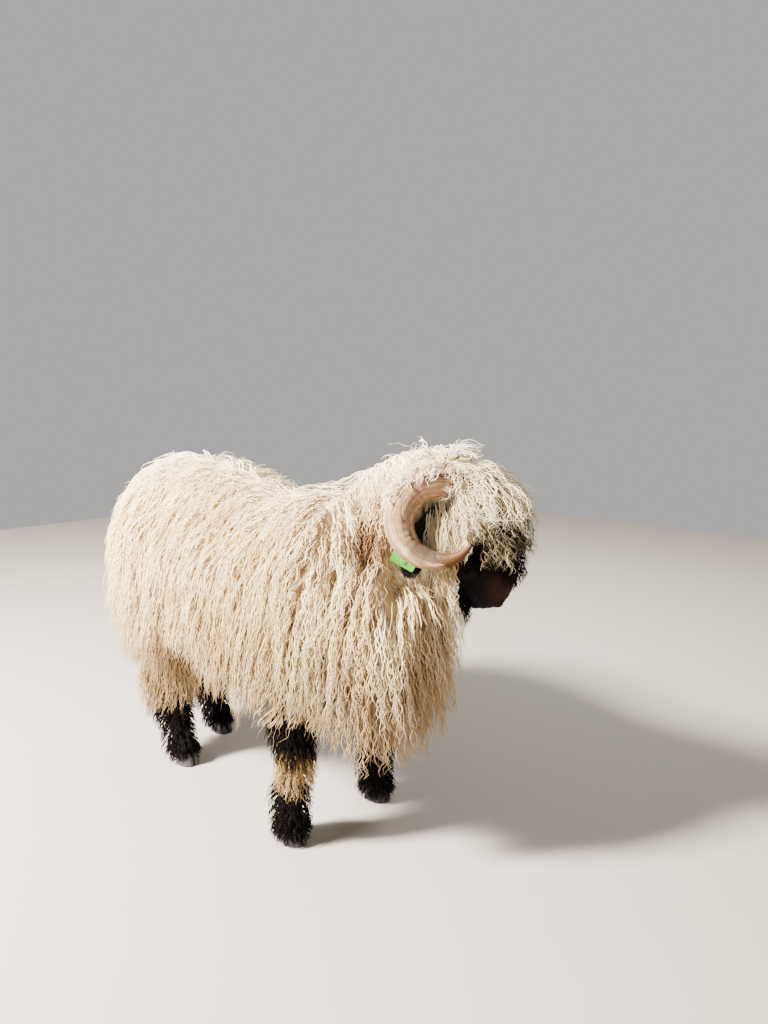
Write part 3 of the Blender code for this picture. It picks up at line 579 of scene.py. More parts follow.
# Painted shade: the wool is darker and more amber low down.
shaded_low = scaled(wool_group, height.outputs["Z"], 0.54, 0.30, 0, 0.76)
cream = mix_colours(wool_group, shaded_low, cream, CREAM_SHADED_LOW)
stain_and_shade_mask = scaled(wool_group, away_from(wool_group, place, STAIN_PLACE), 0.060, 0.026, 0, 0.85)
cream = mix_colours(wool_group, stain_and_shade_mask, cream, STAIN_AND_SHADE_BROWN)
# Painted shade with some dirt: the thigh under the overhanging flank is browner.
stain_and_shade_mask = scaled(wool_group, away_from(wool_group, place, THIGH_SHADE_AND_STAIN_PLACE), 0.130, 0.050, 0, 0.6)
cream = mix_colours(wool_group, stain_and_shade_mask, cream, STAIN_AND_SHADE_BROWN)
# Painted shade: the black wool is darkest at the root.
black = mix_colours(wool_group, scaled(wool_group, depth, 0.3, 1.2), BLACK_SHADED_ROOT, BLACK_TIP)
# Painted highlight: the black is browner round the muzzle.
lit_muzzle = scaled(wool_group, away_from(wool_group, place, LIP_HIGHLIGHT_PLACE), 0.052, 0.024, 0, 0.85)
black = mix_colours(wool_group, lit_muzzle, black, LIP_HIGHLIGHT_BROWN)
wool_group.links.new(mix_colours(wool_group, inputs.outputs["Pale"], black, cream), outputs.inputs["Color"])


def attribute(tree, name):
    node = tree.nodes.new("ShaderNodeAttribute")
    node.attribute_name = name
    return node.outputs["Fac"]


def wool_finish(name, roughness, sheen, along=None):
    made, tree, shader = new_material(name, roughness)
    shader.inputs["Sheen Weight"].default_value = sheen
    shader.inputs["Sheen Roughness"].default_value = 0.5
    shader.inputs["Specular IOR Level"].default_value = 0.12
    colour = group_in(tree, "wool_colour")
    tree.links.new(attribute(tree, "pale"), colour.inputs["Pale"])
    if along is None:
        tree.links.new(attribute(tree, "tone_and_shade"), colour.inputs["Tone_and_shade"])
        tree.links.new(attribute(tree, "along"), colour.inputs["Along"])
    else:
        colour.inputs["Along"].default_value = along
        colour.inputs["Tone_and_shade"].default_value = 0.4
    fibre = tree.nodes.new("ShaderNodeTexNoise")
    fibre.inputs["Scale"].default_value = 1
    fibre.inputs["Detail"].default_value = 2
    drawn = tree.nodes.new("ShaderNodeMapping")
    drawn.inputs["Scale"].default_value = (850, 850, 240)
    tree.links.new(tree.nodes.new("ShaderNodeTexCoord").outputs["Object"], drawn.inputs["Vector"])
    tree.links.new(drawn.outputs["Vector"], fibre.inputs["Vector"])
    streaks = scaled(tree, fibre.outputs["Fac"], 0.3, 0.7, 0.46, 0)
    tree.links.new(mix_colours(tree, streaks, colour.outputs["Color"], (0.25, 0.17, 0.10, 1), "MULTIPLY"),
                   shader.inputs["Base Color"])
    bump = tree.nodes.new("ShaderNodeBump")
    bump.inputs["Strength"].default_value = 0.4
    bump.inputs["Distance"].default_value = 0.0005
    tree.links.new(fibre.outputs["Fac"], bump.inputs["Height"])
    tree.links.new(bump.outputs["Normal"], shader.inputs["Normal"])
    return made, tree, shader


# Bare skin shows only on the face, where short black hair lies flat over it in fine ripples. Under the wool the
# skin takes the colour of the wool's shaded root: painted shade that shows in the gaps between the locks.
skin_finish, tree, shader = wool_finish("skin_and_shaded_underwool", 0.68, 0.04, 0.20)
place = tree.nodes.new("ShaderNodeTexCoord").outputs["Object"]
fine = tree.nodes.new("ShaderNodeTexNoise")
fine.inputs["Scale"].default_value = 420
fine.inputs["Detail"].default_value = 3
tree.links.new(place, fine.inputs["Vector"])
bump = tree.nodes.new("ShaderNodeBump")
bump.inputs["Strength"].default_value = 0.55
bump.inputs["Distance"].default_value = 0.0016
tree.links.new(fine.outputs["Fac"], bump.inputs["Height"])
tree.links.new(bump.outputs["Normal"], shader.inputs["Normal"])
shader.inputs["Specular IOR Level"].default_value = 0.07
skin.data.materials.clear()
skin.data.materials.append(skin_finish)
skin.data.shade_smooth()
skin_points = points_of(skin.data)
skin_pale = paleness(skin_points)
mark(skin.data, "pale", skin_pale)
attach(skin, "root")
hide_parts("torso", "neck", "head", "tail", *FEET)


# Each horn is one round curl of keratin that springs from the crown, thins, and ends in an amber point. It is
# ringed by its growth, split by fine cracks, and rooted in the wool of the poll.

HORN_CENTRE = (0.093, -0.067)
HORN_CURL_RADIUS = 0.071
HORN_THICKNESS = 0.031
HORN_START = math.radians(52)
HORN_SWEEP = math.radians(270)
HORN_RINGS = 150
HORN_SIDES = 28


def horn_station(share, side):
    """The middle and radius of a horn at a share of its length."""
    angle = HORN_START + HORN_SWEEP * share
    reach = HORN_CURL_RADIUS + 0.012 * (1 - share) ** 3 + 0.020 * max(0.0, share - 0.7)
    down = HORN_CENTRE[0] - reach * math.sin(angle)
    brow = HORN_CENTRE[1] + reach * math.cos(angle)
    apart = 0.040 + 0.074 * share**0.85
    return on_head(down, brow, side * apart), HORN_THICKNESS * (1 - share**2.6) + 0.0028


horn_finish, tree, shader = new_material("horn", 0.42)
shader.inputs["Specular IOR Level"].default_value = 0.25
place = tree.nodes.new("ShaderNodeAttribute")
place.attribute_name = "horn_place"
along = attribute(tree, "along")
colour = mix_colours(tree, scaled(tree, along, 0.0, 0.6), (0.35, 0.190, 0.095, 1), (0.27, 0.165, 0.075, 1))
streak = tree.nodes.new("ShaderNodeTexNoise")
streak.inputs["Scale"].default_value = 3.2
streak.inputs["Detail"].default_value = 5
stretched = tree.nodes.new("ShaderNodeMapping")
stretched.inputs["Scale"].default_value = (1.2, 1.2, 0.20)
tree.links.new(place.outputs["Vector"], stretched.inputs["Vector"])
tree.links.new(stretched.outputs["Vector"], streak.inputs["Vector"])
colour = mix_colours(tree, scaled(tree, streak.outputs["Fac"], 0.50, 0.66, 0, 0.8), colour, (0.13, 0.075, 0.060, 1))
colour = mix_colours(tree, scaled(tree, streak.outputs["Fac"], 0.46, 0.30, 0, 0.8), colour, (0.58, 0.41, 0.235, 1))
parts = tree.nodes.new("ShaderNodeSeparateXYZ")
tree.links.new(place.outputs["Vector"], parts.inputs[0])
# From halfway along, the inner face of the curl is painted dark: partly the horn's own grey-brown, partly painted shade
# where the curl turns in.
inner = maths(tree, "MULTIPLY", scaled(tree, parts.outputs["Y"], 0.15, -0.15), scaled(tree, along, 0.50, 0.66, 0, 0.85))
colour = mix_colours(tree, inner, colour, (0.030, 0.0185, 0.012, 1))
wavering = maths(tree, "ADD", parts.outputs["Y"], scaled(tree, streak.outputs["Fac"], 0.3, 0.7, -0.16, 0.16))
beside = maths(tree, "ABSOLUTE", maths(tree, "SUBTRACT", wavering, 0.40), 0.0)
split = maths(tree, "MULTIPLY", scaled(tree, beside, 0.085, 0.030, 0, 0.95), scaled(tree, parts.outputs["X"], 0.0, 0.15))
split = maths(tree, "MULTIPLY", split, scaled(tree, along, 0.46, 0.38))
colour = mix_colours(tree, split, colour, (0.020, 0.014, 0.013, 1))
amber = maths(tree, "ADD", along, scaled(tree, streak.outputs["Fac"], 0.3, 0.7, -0.03, 0.03))
colour = mix_colours(tree, scaled(tree, amber, 0.80, 0.83), colour, (0.068, 0.0225, 0.0012, 1))
colour = mix_colours(tree, scaled(tree, amber, 0.93, 1.0, 0, 0.8), colour, (0.045, 0.015, 0.003, 1))
ringed = tree.nodes.new("ShaderNodeTexNoise")
ringed.inputs["Scale"].default_value = 1.3
ringed.inputs["Detail"].default_value = 6
packed = tree.nodes.new("ShaderNodeMapping")
packed.inputs["Scale"].default_value = (0.35, 0.35, 14)
tree.links.new(place.outputs["Vector"], packed.inputs["Vector"])
tree.links.new(packed.outputs["Vector"], ringed.inputs["Vector"])
crack = tree.nodes.new("ShaderNodeTexVoronoi")
crack.feature = "DISTANCE_TO_EDGE"
crack.inputs["Scale"].default_value = 0.9
tree.links.new(stretched.outputs["Vector"], crack.inputs["Vector"])
colour = mix_colours(tree, scaled(tree, crack.outputs["Distance"], 0.012, 0.0, 0, 0.8), colour, (0.025, 0.016, 0.014, 1))
fibre = tree.nodes.new("ShaderNodeTexNoise")
fibre.inputs["Scale"].default_value = 9
fibre.inputs["Detail"].default_value = 3
drawn = tree.nodes.new("ShaderNodeMapping")
drawn.inputs["Scale"].default_value = (1, 1, 0.08)
tree.links.new(place.outputs["Vector"], drawn.inputs["Vector"])
tree.links.new(drawn.outputs["Vector"], fibre.inputs["Vector"])
colour = mix_colours(tree, scaled(tree, fibre.outputs["Fac"], 0.52, 0.70, 0, 0.45), colour, (0.09, 0.05, 0.033, 1))
tree.links.new(colour, shader.inputs["Base Color"])
relief = maths(tree, "ADD", ringed.outputs["Fac"], scaled(tree, crack.outputs["Distance"], 0.0, 0.03, -0.6, 0))
relief = maths(tree, "SUBTRACT", relief, split)
bump = tree.nodes.new("ShaderNodeBump")
bump.inputs["Strength"].default_value = 0.7
bump.inputs["Distance"].default_value = 0.0012
tree.links.new(relief, bump.inputs["Height"])
tree.links.new(bump.outputs["Normal"], shader.inputs["Normal"])
tree.links.new(scaled(tree, ringed.outputs["Fac"], 0.3, 0.7, 0.48, 0.70), shader.inputs["Roughness"])

horn_samples = []
for word, side in SIDES.items():
    bm = bmesh.new()
    rings = []
    marks = []
    for k in range(HORN_RINGS + 1):
        share = k / HORN_RINGS
        here, radius = horn_station(share, side)
        ahead = horn_station(min(1.0, share + 0.01), side)[0] - horn_station(max(0.0, share - 0.01), side)[0]
        ahead.normalize()
        across = (HEAD_LEFT - ahead * HEAD_LEFT.dot(ahead)).normalized()
        ridge = 0.026 * (1 - share) * math.sin(share * 112 + 2.2 * math.sin(share * 23))
        radius *= 1 + ridge + 0.016 * noise(Vector((share * 9, side, 0)))
        round_off = 1 if share < 0.97 else math.sqrt(max(0.0, 1 - ((share - 0.97) / 0.03) ** 2)) * 0.8 + 0.2
        radius *= round_off
        ring = add_ring(bm, here, across, ahead.cross(across), radius * 0.88, radius, radius, HORN_SIDES)
        rings.append(ring)
        if k % 3 == 0:
            horn_samples.append((*here, radius, share))
    bridge(bm, rings)
    bmesh.ops.recalc_face_normals(bm, faces=bm.faces)
    horn = object_from(bm, "horn_" + word + "_curl")
    points = points_of(horn.data)
    middles = np.array([tuple(horn_station(k / 200, side)[0]) for k in range(201)])
    gaps = np.linalg.norm(points[:, None, :] - middles[None, :, :], axis=2)
    nearest = gaps.argmin(axis=1)
    aways = (points - middles[nearest]) / HORN_THICKNESS
    angles = HORN_START + HORN_SWEEP * nearest / 200
    radial = np.outer(np.cos(angles), np.array(TO_BROW)) - np.outer(np.sin(angles), np.array(TO_NOSE))
    turn = np.stack((aways @ np.array(HEAD_LEFT) * side, (aways * radial).sum(axis=1), nearest / 200 * 12), axis=1)
    layer = horn.data.attributes.new("horn_place", "FLOAT_VECTOR", "POINT")
    layer.data.foreach_set("vector", turn.astype(np.float32).ravel())
    mark(horn.data, "along", nearest / 200)
    horn.data.materials.append(horn_finish)
    horn.data.shade_smooth()
    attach(horn, "root")
    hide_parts("horn_" + word)
horn_samples = np.array(horn_samples)


# The ears are thin cupped leaves in short black hair that hang down between the horns and the neck.

EAR_THICKNESS = 0.0032
EAR_CUP = 0.010
ear_finish, tree, shader = new_material("ear_hair", 0.7)
shader.inputs["Specular IOR Level"].default_value = 0.15
place = tree.nodes.new("ShaderNodeTexCoord").outputs["Object"]
fine = tree.nodes.new("ShaderNodeTexNoise")
fine.inputs["Scale"].default_value = 380
tree.links.new(place, fine.inputs["Vector"])
tree.links.new(mix_colours(tree, fine.outputs["Fac"], (0.004, 0.003, 0.003, 1), (0.014, 0.009, 0.007, 1)),
               shader.inputs["Base Color"])
bump = tree.nodes.new("ShaderNodeBump")
bump.inputs["Strength"].default_value = 0.5
bump.inputs["Distance"].default_value = 0.001
tree.links.new(fine.outputs["Fac"], bump.inputs["Height"])
tree.links.new(bump.outputs["Normal"], shader.inputs["Normal"])
for word, side in SIDES.items():
    path = [on_head(down, brow, side * apart) for down, brow, apart, half in EAR]
    bm = bmesh.new()
    rings = []
    for k, centre in enumerate(path):
        half = EAR[k][3]
        along = (path[min(k + 1, len(path) - 1)] - path[max(k - 1, 0)]).normalized()
        across = (TO_BROW - along * TO_BROW.dot(along)).normalized()
        out = (HEAD_LEFT * side - along * (HEAD_LEFT * side).dot(along)).normalized()
        cup = EAR_CUP * half / 0.027
        curve = [math.radians(-70 + 14 * step) for step in range(11)]
        outer = [centre + across * half * math.sin(a) - out * cup * (math.cos(a) - 0.6) for a in curve]
        inner = [point + out * EAR_THICKNESS for point in reversed(outer)]
        ring = [bm.verts.new(point) for point in outer + inner]
        rings.append([bm.edges.new((ring[k], ring[(k + 1) % len(ring)])) for k in range(len(ring))])
    bridge(bm, rings)
    bmesh.ops.recalc_face_normals(bm, faces=bm.faces)
    ear = object_from(bm, "ear_" + word + "_leaf")
    change = ear.modifiers.new("round", "SUBSURF")
    change.levels = 2
    change.render_levels = 2
    apply_modifiers(ear)
    ear.data.materials.append(ear_finish)
    ear.data.shade_smooth()
    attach(ear, "root")
    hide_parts("ear_" + word)


# The ear tag is a bare plate of soft green plastic, held through the right ear by a round stud.

TAG_SIZE = (0.053, 0.022, 0.002)
tag_along = (TO_NOSE * 0.62 + TO_BROW * 0.78).normalized()
tag_out = (-HEAD_LEFT + TO_NOSE * 0.10).normalized()
tag_out = (tag_out - tag_along * tag_out.dot(tag_along)).normalized()
tag_turn = Matrix((tag_along, tag_out.cross(tag_along), tag_out)).transposed()
tag_centre = on_head(0.1625, -0.1455, -0.0645)
bm = bmesh.new()
made = bmesh.ops.create_cube(bm, size=1.0)["verts"]
bmesh.ops.scale(bm, vec=TAG_SIZE, verts=made)
upright = [edge for edge in bm.edges if abs((edge.verts[0].co - edge.verts[1].co).z) > 0.001]
bmesh.ops.bevel(bm, geom=upright, offset=0.0035, segments=5, profile=0.5, affect="EDGES", material=-1)
flat_edges = [edge for edge in bm.edges if abs((edge.verts[0].co - edge.verts[1].co).z) < 0.0001]
bmesh.ops.bevel(bm, geom=flat_edges, offset=0.0005, segments=2, profile=0.5, affect="EDGES", material=-1)
stud = bmesh.ops.create_cone(bm, cap_ends=True, segments=24, radius1=0.0058, radius2=0.0048, depth=0.0018)["verts"]
bmesh.ops.translate(bm, vec=(0, 0, 0.0017), verts=stud)
bmesh.ops.rotate(bm, verts=bm.verts, cent=(0, 0, 0), matrix=tag_turn)
bmesh.ops.translate(bm, vec=tag_centre, verts=bm.verts)
tag = object_from(bm, "ear_tag_plate")
tag_finish, tree, shader = new_material("tag_plastic", 0.38)
place = tree.nodes.new("ShaderNodeTexCoord").outputs["Object"]
scuff = tree.nodes.new("ShaderNodeTexNoise")
scuff.inputs["Scale"].default_value = 160
scuff.inputs["Detail"].default_value = 4
tree.links.new(place, scuff.inputs["Vector"])
tree.links.new(mix_colours(tree, scaled(tree, scuff.outputs["Fac"], 0.5, 0.75), (0.060, 0.36, 0.014, 1),
                           (0.13, 0.45, 0.04, 1)), shader.inputs["Base Color"])
tree.links.new(scaled(tree, scuff.outputs["Fac"], 0.3, 0.7, 0.3, 0.5), shader.inputs["Roughness"])
tag.data.materials.append(tag_finish)
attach(tag, "root")
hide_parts("ear_tag")


# The eyes are dark amber balls with a long level pupil, set deep behind the lids.

eye_finish, tree, shader = new_material("eye", 0.05)
place = tree.nodes.new("ShaderNodeAttribute")
place.attribute_name = "eye_place"
parts = tree.nodes.new("ShaderNodeSeparateXYZ")
tree.links.new(place.outputs["Vector"], parts.inputs[0])
long_way = maths(tree, "POWER", maths(tree, "DIVIDE", parts.outputs["X"], 0.52), 2.0)
short_way = maths(tree, "POWER", maths(tree, "DIVIDE", parts.outputs["Y"], 0.20), 2.0)
pupil = maths(tree, "ADD", long_way, short_way)
iris = maths(tree, "ADD", maths(tree, "POWER", parts.outputs["X"], 2.0), maths(tree, "POWER", parts.outputs["Y"], 2.0))
colour = mix_colours(tree, scaled(tree, iris, 0.55, 0.70), (0.20, 0.085, 0.02, 1), (0.03, 0.02, 0.018, 1))
colour = mix_colours(tree, scaled(tree, pupil, 1.15, 0.9), colour, (0.002, 0.002, 0.003, 1))
tree.links.new(colour, shader.inputs["Base Color"])
shader.inputs["Coat Weight"].default_value = 0.6
for word, side in SIDES.items():
    down, brow, apart = EYE_PLACE
    centre = on_head(down, brow, side * apart)
    bm = bmesh.new()
    add_ball(bm, centre, (EYE_RADIUS,) * 3, None, 40)
    eye = object_from(bm, "eye_" + word + "_ball")
    away = (points_of(eye.data) - np.array(centre)) / EYE_RADIUS
    level = np.array((TO_NOSE * 0.55 + TO_BROW * 0.83).normalized())
    level_up = np.array(HEAD_LEFT.cross(Vector(level)))
    layer = eye.data.attributes.new("eye_place", "FLOAT_VECTOR", "POINT")
    spread = np.stack((away @ level, away @ level_up, away @ np.array(HEAD_LEFT) * side), axis=1)
    layer.data.foreach_set("vector", spread.astype(np.float32).ravel())
    eye.data.materials.append(eye_finish)
    eye.data.shade_smooth()
    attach(eye, "root")
    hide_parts("eye_" + word)


# Each hoof is two claws of dark horn, rounded by wear and ringed round the wall.

hoof_finish, tree, shader = new_material("hoof_horn", 0.5)
place = tree.nodes.new("ShaderNodeTexCoord").outputs["Object"]
rings_of_wall = tree.nodes.new("ShaderNodeMapping")
rings_of_wall.inputs["Scale"].default_value = (8, 8, 260)
tree.links.new(place, rings_of_wall.inputs["Vector"])
wall = tree.nodes.new("ShaderNodeTexNoise")
wall.inputs["Scale"].default_value = 1
wall.inputs["Detail"].default_value = 4
tree.links.new(rings_of_wall.outputs["Vector"], wall.inputs["Vector"])
tree.links.new(mix_colours(tree, wall.outputs["Fac"], (0.012, 0.011, 0.011, 1), (0.055, 0.051, 0.049, 1)),
               shader.inputs["Base Color"])
bump = tree.nodes.new("ShaderNodeBump")
bump.inputs["Strength"].default_value = 0.5
bump.inputs["Distance"].default_value = 0.001
tree.links.new(wall.outputs["Fac"], bump.inputs["Height"])
tree.links.new(bump.outputs["Normal"], shader.inputs["Normal"])
for name in FEET:
    for word in SIDES:
        node = name.replace("_leg", "") + "_claw_" + word
        bm = bmesh.new()
        bm.from_mesh(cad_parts[node].data)
        bmesh.ops.remove_doubles(bm, verts=bm.verts, dist=0.0001)
        bmesh.ops.dissolve_limit(bm, angle_limit=0.05, verts=bm.verts, edges=bm.edges)
        sharp = [edge for edge in bm.edges if edge.calc_face_angle(0) > 0.3]
        bmesh.ops.bevel(bm, geom=sharp, offset=0.0022, segments=3, profile=0.5, affect="EDGES", material=-1)
        claw = object_from(bm, node + "_horn")
        claw.data.materials.append(hoof_finish)
        claw.data.shade_smooth()
        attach(claw, "root")
        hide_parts(node)


# The wool grows in locks of a few wavy strands that cling together. Each lock is rooted in the skin, follows
# it the way the wool lies, stands off it by the depth of the coat, and hangs free below.

skin_tree = tree_of(skin)
flat = np.empty(len(skin.data.vertices) * 3, np.float32)
skin.data.vertex_normals.foreach_get("vector", flat)
skin_normals = flat.reshape(-1, 3).astype(float)
chance = np.random.default_rng(11)
fleece_finish, tree, shader = wool_finish("fleece", 0.8, 0.15)
black_finish, tree, shader = wool_finish("black_wool", 0.65, 0.0)
shader.inputs["Specular IOR Level"].default_value = 0.05
LIMIT = 190000


def spaced(chosen, spacing, points=skin_points):
    """Picks points that lie about evenly, no nearer to each other than the spacing."""
    taken = {}
    picked = []
    limit = spacing * spacing
    for index in chance.permutation(np.nonzero(chosen)[0]):
        point = points[index]
        cell = tuple((point // spacing).astype(int))
        near = [taken[key] for key in ((cell[0] + i, cell[1] + j, cell[2] + k)
                                       for i in (-1, 0, 1) for j in (-1, 0, 1) for k in (-1, 0, 1)) if key in taken]
        if all(((other - point) ** 2).sum() >= limit for group in near for other in group):
            taken.setdefault(cell, []).append(point)
            picked.append(index)
    return np.array(picked, int)


def lay_paths(points, normals, tree, lies, lengths, steps, turned_under):
    """For each root: points over the skin along the lie, then straight down, and the way out at each."""
    paths = np.empty((len(points), steps + 1, 3))
    outs = np.empty((len(points), steps + 1, 3))
    for row in range(len(points)):
        spot = Vector(points[row])
        out = Vector(normals[row])
        lie = Vector(lies[row])
        step = lengths[row] / steps
        hanging = out.z < turned_under - 0.37
        paths[row, 0] = spot
        outs[row, 0] = out
        for k in range(1, steps + 1):
            if not hanging:
                way = lie - out * lie.dot(out)
                hit, normal, _, _ = tree.find_nearest(spot + way.normalized() * step)
                if normal.z < turned_under:
                    hanging = True
                    hit = spot + Vector((lie.x * 0.3, lie.y * 0.1, -1)).normalized() * step
                else:
                    out = (out + normal).normalized()
                spot = hit
            else:
                spot = spot + Vector((lie.x * 0.2, lie.y * 0.1, -1)).normalized() * step
            paths[row, k] = spot
            outs[row, k] = out
    return paths, outs


def unit(vectors):
    return vectors / np.maximum(np.linalg.norm(vectors, axis=-1, keepdims=True), 1e-9)


def tufts(name, centres, outs, radii, finish, places, marks):
    """One mesh of closed, tapered three-sided strands, each with its own small patch of the OFBake map."""
    count, rows, _ = centres.shape
    along = unit(np.gradient(centres, axis=1))
    side = unit(np.cross(outs, along))
    up = np.cross(along, side)
    corners = np.empty((count, rows, 3, 3))
    for k in range(3):
        angle = math.radians(90 + 120 * k)
        corners[:, :, k] = centres + (side * math.cos(angle) + up * math.sin(angle) * 0.7) * radii[..., None]
    grid = np.arange(count * rows * 3).reshape(count, rows, 3)
    turned = np.roll(grid, -1, axis=2)
    quads = np.stack((grid[:, :-1], turned[:, :-1], turned[:, 1:], grid[:, 1:]), axis=-1).reshape(-1, 4)
    ends = np.concatenate((grid[:, 0, ::-1], grid[:, -1]))
    loops = np.concatenate((quads.ravel(), ends.ravel()))
    starts = np.concatenate((np.arange(len(quads)) * 4, len(quads) * 4 + np.arange(len(ends)) * 3))
    mesh = bpy.data.meshes.new(name)
    mesh.vertices.add(count * rows * 3)
    mesh.vertices.foreach_set("co", corners.astype(np.float32).ravel())
    mesh.loops.add(len(loops))
    mesh.loops.foreach_set("vertex_index", loops.astype(np.int32))
    mesh.polygons.add(len(starts))
    mesh.polygons.foreach_set("loop_start", starts.astype(np.int32))
    mesh.update(calc_edges=True)
    mesh.shade_smooth()
    spread = np.empty((count, rows, 3, 2))
    spread[..., 0] = places[:, None, None, 0] + 0.003 * np.arange(3) / 3
    spread[..., 1] = places[:, None, None, 1] + 0.003 * (np.arange(rows) / (rows - 1))[None, :, None]
    layer = mesh.uv_layers.new(name="OFBake")
    layer.data.foreach_set("uv", spread.reshape(-1, 2)[loops].astype(np.float32).ravel())
    share = np.broadcast_to(np.linspace(0, 1, rows)[None, :, None], (count, rows, 3))
    mark(mesh, "along", share.ravel())
    for key, values in marks.items():
        mark(mesh, key, np.repeat(values, rows * 3))
    mesh.materials.append(finish)
    made = bpy.data.objects.new(name, mesh)
    bpy.context.scene.collection.objects.link(made)
    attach(made, "root")
    return made


def unwrap(points, middle, axis, first, length):
    """A place on an unwrap of the body: how far along its axis, and how far round it."""
    axis = np.array(axis)
    side = unit(np.cross(axis, (0.0, 1.0, 0.001)))
    other = np.cross(axis, side)
    away = points - np.array(middle)
    run = np.clip((away @ axis - first) / length, 0, 1)
    turn = np.arctan2(away @ other, away @ side) / (2 * math.pi) + 0.5
    return np.stack((0.005 + 0.985 * run, 0.005 + 0.985 * turn), axis=1)


def bundle(paths, outs, lengths, strands, depth, spread, width, amplitude, wavelength, cling=0.45, wander=0.006,
           sink=0.003, power=2.4, loose=0.2):
    """Splits each lock's path into strands that share its waves: their middles, ways out and radii."""
    count, rows, _ = paths.shape
    pick = np.repeat(np.arange(count), strands)
    path, out = paths[pick], outs[pick]
    share = np.linspace(0, 1, rows)[None, :]
    across = unit(np.cross(out, unit(np.gradient(path, axis=1))))
    number = len(pick)
    turn = chance.uniform(0, 2 * math.pi, number)
    reach = np.sqrt(chance.uniform(0, 1, number)) * np.asarray(spread)
    closing = 1 - (1 - cling) * np.minimum(share * 1.4, 1.0)
    stand = (np.asarray(depth)[pick] * chance.uniform(0.60, 1.12, number))[:, None]
    lift = -sink + (stand + sink) * (1 - (1 - share) ** power)
    phase = np.repeat(chance.uniform(0, 2 * math.pi, count), strands) + chance.normal(0, loose * 2.5, number)
    waves = 2 * math.pi * np.asarray(lengths)[pick][:, None] * share / wavelength
    waves = waves * chance.uniform(0.8, 1.2, number)[:, None]
    swing = np.broadcast_to(np.asarray(amplitude, float), (count,))[pick][:, None]
    swing = swing * np.minimum(1.0, share * 3) * (0.6 + 0.6 * share)
    swing = swing * chance.uniform(0.5, 1.35, number)[:, None]
    drift = wander * np.sin(share * 2.6 + chance.uniform(0, 2 * math.pi, number)[:, None]) * share
    sideways = (reach * np.cos(turn))[:, None] * closing + swing * np.sin(waves + phase[:, None]) + drift
    outward = lift + (reach * np.sin(turn))[:, None] * closing * 0.5
    outward = outward + 0.7 * swing * np.cos(waves + phase[:, None]) * np.minimum(1.0, share * 2)
    centres = path + across * sideways[..., None] + out * outward[..., None]
    taper = np.minimum(1.0, 0.5 + 3 * share) * (1 - 0.92 * share**2.5)
    radii = (width / 2) * chance.uniform(0.7, 1.25, number)[:, None] * taper
    return centres, out, radii, pick


def off_the_horns(centres, over_ear):
    """Lays strands over the roots of the horns and behind the ears, and says which keep out of the curls."""
    flat = centres.reshape(-1, 3)
    if not over_ear:
        press = (tucked(flat, TUCKED + 0.004) - flat).reshape(centres.shape)
        padded = np.pad(press, ((0, 0), (3, 3), (0, 0)), "edge")
        centres += sum(padded[:, k:k + centres.shape[1]] for k in range(7)) / 7
    inside = np.zeros(len(flat), bool)
    reach = horn_samples[:, :3]
    near = np.nonzero(((flat > reach.min(0) - 0.04) & (flat < reach.max(0) + 0.04)).all(axis=1))[0]
    for x, y, z, radius, share in horn_samples:
        away = flat[near] - np.array((x, y, z))
        gap = np.linalg.norm(away, axis=1)
        hit = gap < radius + 0.0015
        if share > 0.04:
            inside[near[hit]] = True
        flat[near[hit]] += away[hit] / gap[hit, None] * (radius + 0.0015 - gap[hit])[:, None]
    return inside.reshape(centres.shape[:2]).sum(axis=1) < 2


SKIN_GROUND = (skin_points, skin_normals, skin_tree)
WIDEST = 0.262
LOWEST = 0.004


def grow(name, indices, lies, lengths, steps, finish, slot, axis, depth, strands=3, pale=None, ground=SKIN_GROUND,
         turned_under=-0.08, over_ear=False, **style):
    """Lays, bundles and builds the wool of one region, in as many pieces as keep each of them light."""
    points, normals, tree = ground[0][indices], ground[1][indices], ground[2]
    stripes = np.array([noise(Vector((x * 30, y * 30, z * 5))) for x, y, z in points])
    depth = np.asarray(depth) * (1 + 0.45 * stripes)
    paths, outs = lay_paths(points, normals, tree, lies, lengths, steps, turned_under)
    centres, out, radii, pick = bundle(paths, outs, lengths, strands, depth, **style)
    keep = off_the_horns(centres, over_ear) if ground is SKIN_GROUND else np.ones(len(pick), bool)
    centres[..., 1] = np.clip(centres[..., 1], -WIDEST, WIDEST)
    centres[..., 2] = np.maximum(centres[..., 2], LOWEST)
    # The tone follows the stripes that set the depth, so the shallower bands are painted darker as painted shade
    # between the clumps; a random tone is added on top.
    tone_and_shade = np.clip(0.35 + 0.45 * stripes + chance.normal(0, 0.12, len(indices)), 0, 0.8)[pick]
    tone_and_shade = tone_and_shade + chance.uniform(0, 0.25, len(pick))
    if pale is None:
        pale = paleness(points)
    shade = np.broadcast_to(np.asarray(pale, float), (len(indices),))[pick]
    roots = points[pick]
    centres, out, radii, roots, tone_and_shade, shade = (values[keep] for values in (centres, out, radii, roots, tone_and_shade, shade))
    places = unwrap(roots, *axis)
    pieces = math.ceil(len(radii) * (steps * 6 + 2) / LIMIT)
    order = np.argsort(places[:, 0], kind="stable")
    for number, part in enumerate(np.array_split(order, pieces)):
        label = name if pieces == 1 else f"{name}_{number + 1}"
        tufts(label, centres[part], out[part], radii[part], finish, places[part],
              {"tone_and_shade": tone_and_shade[part], "pale": shade[part]})
    print(name, len(radii), "strands", len(radii) * (steps * 6 + 2), "triangles in", pieces)


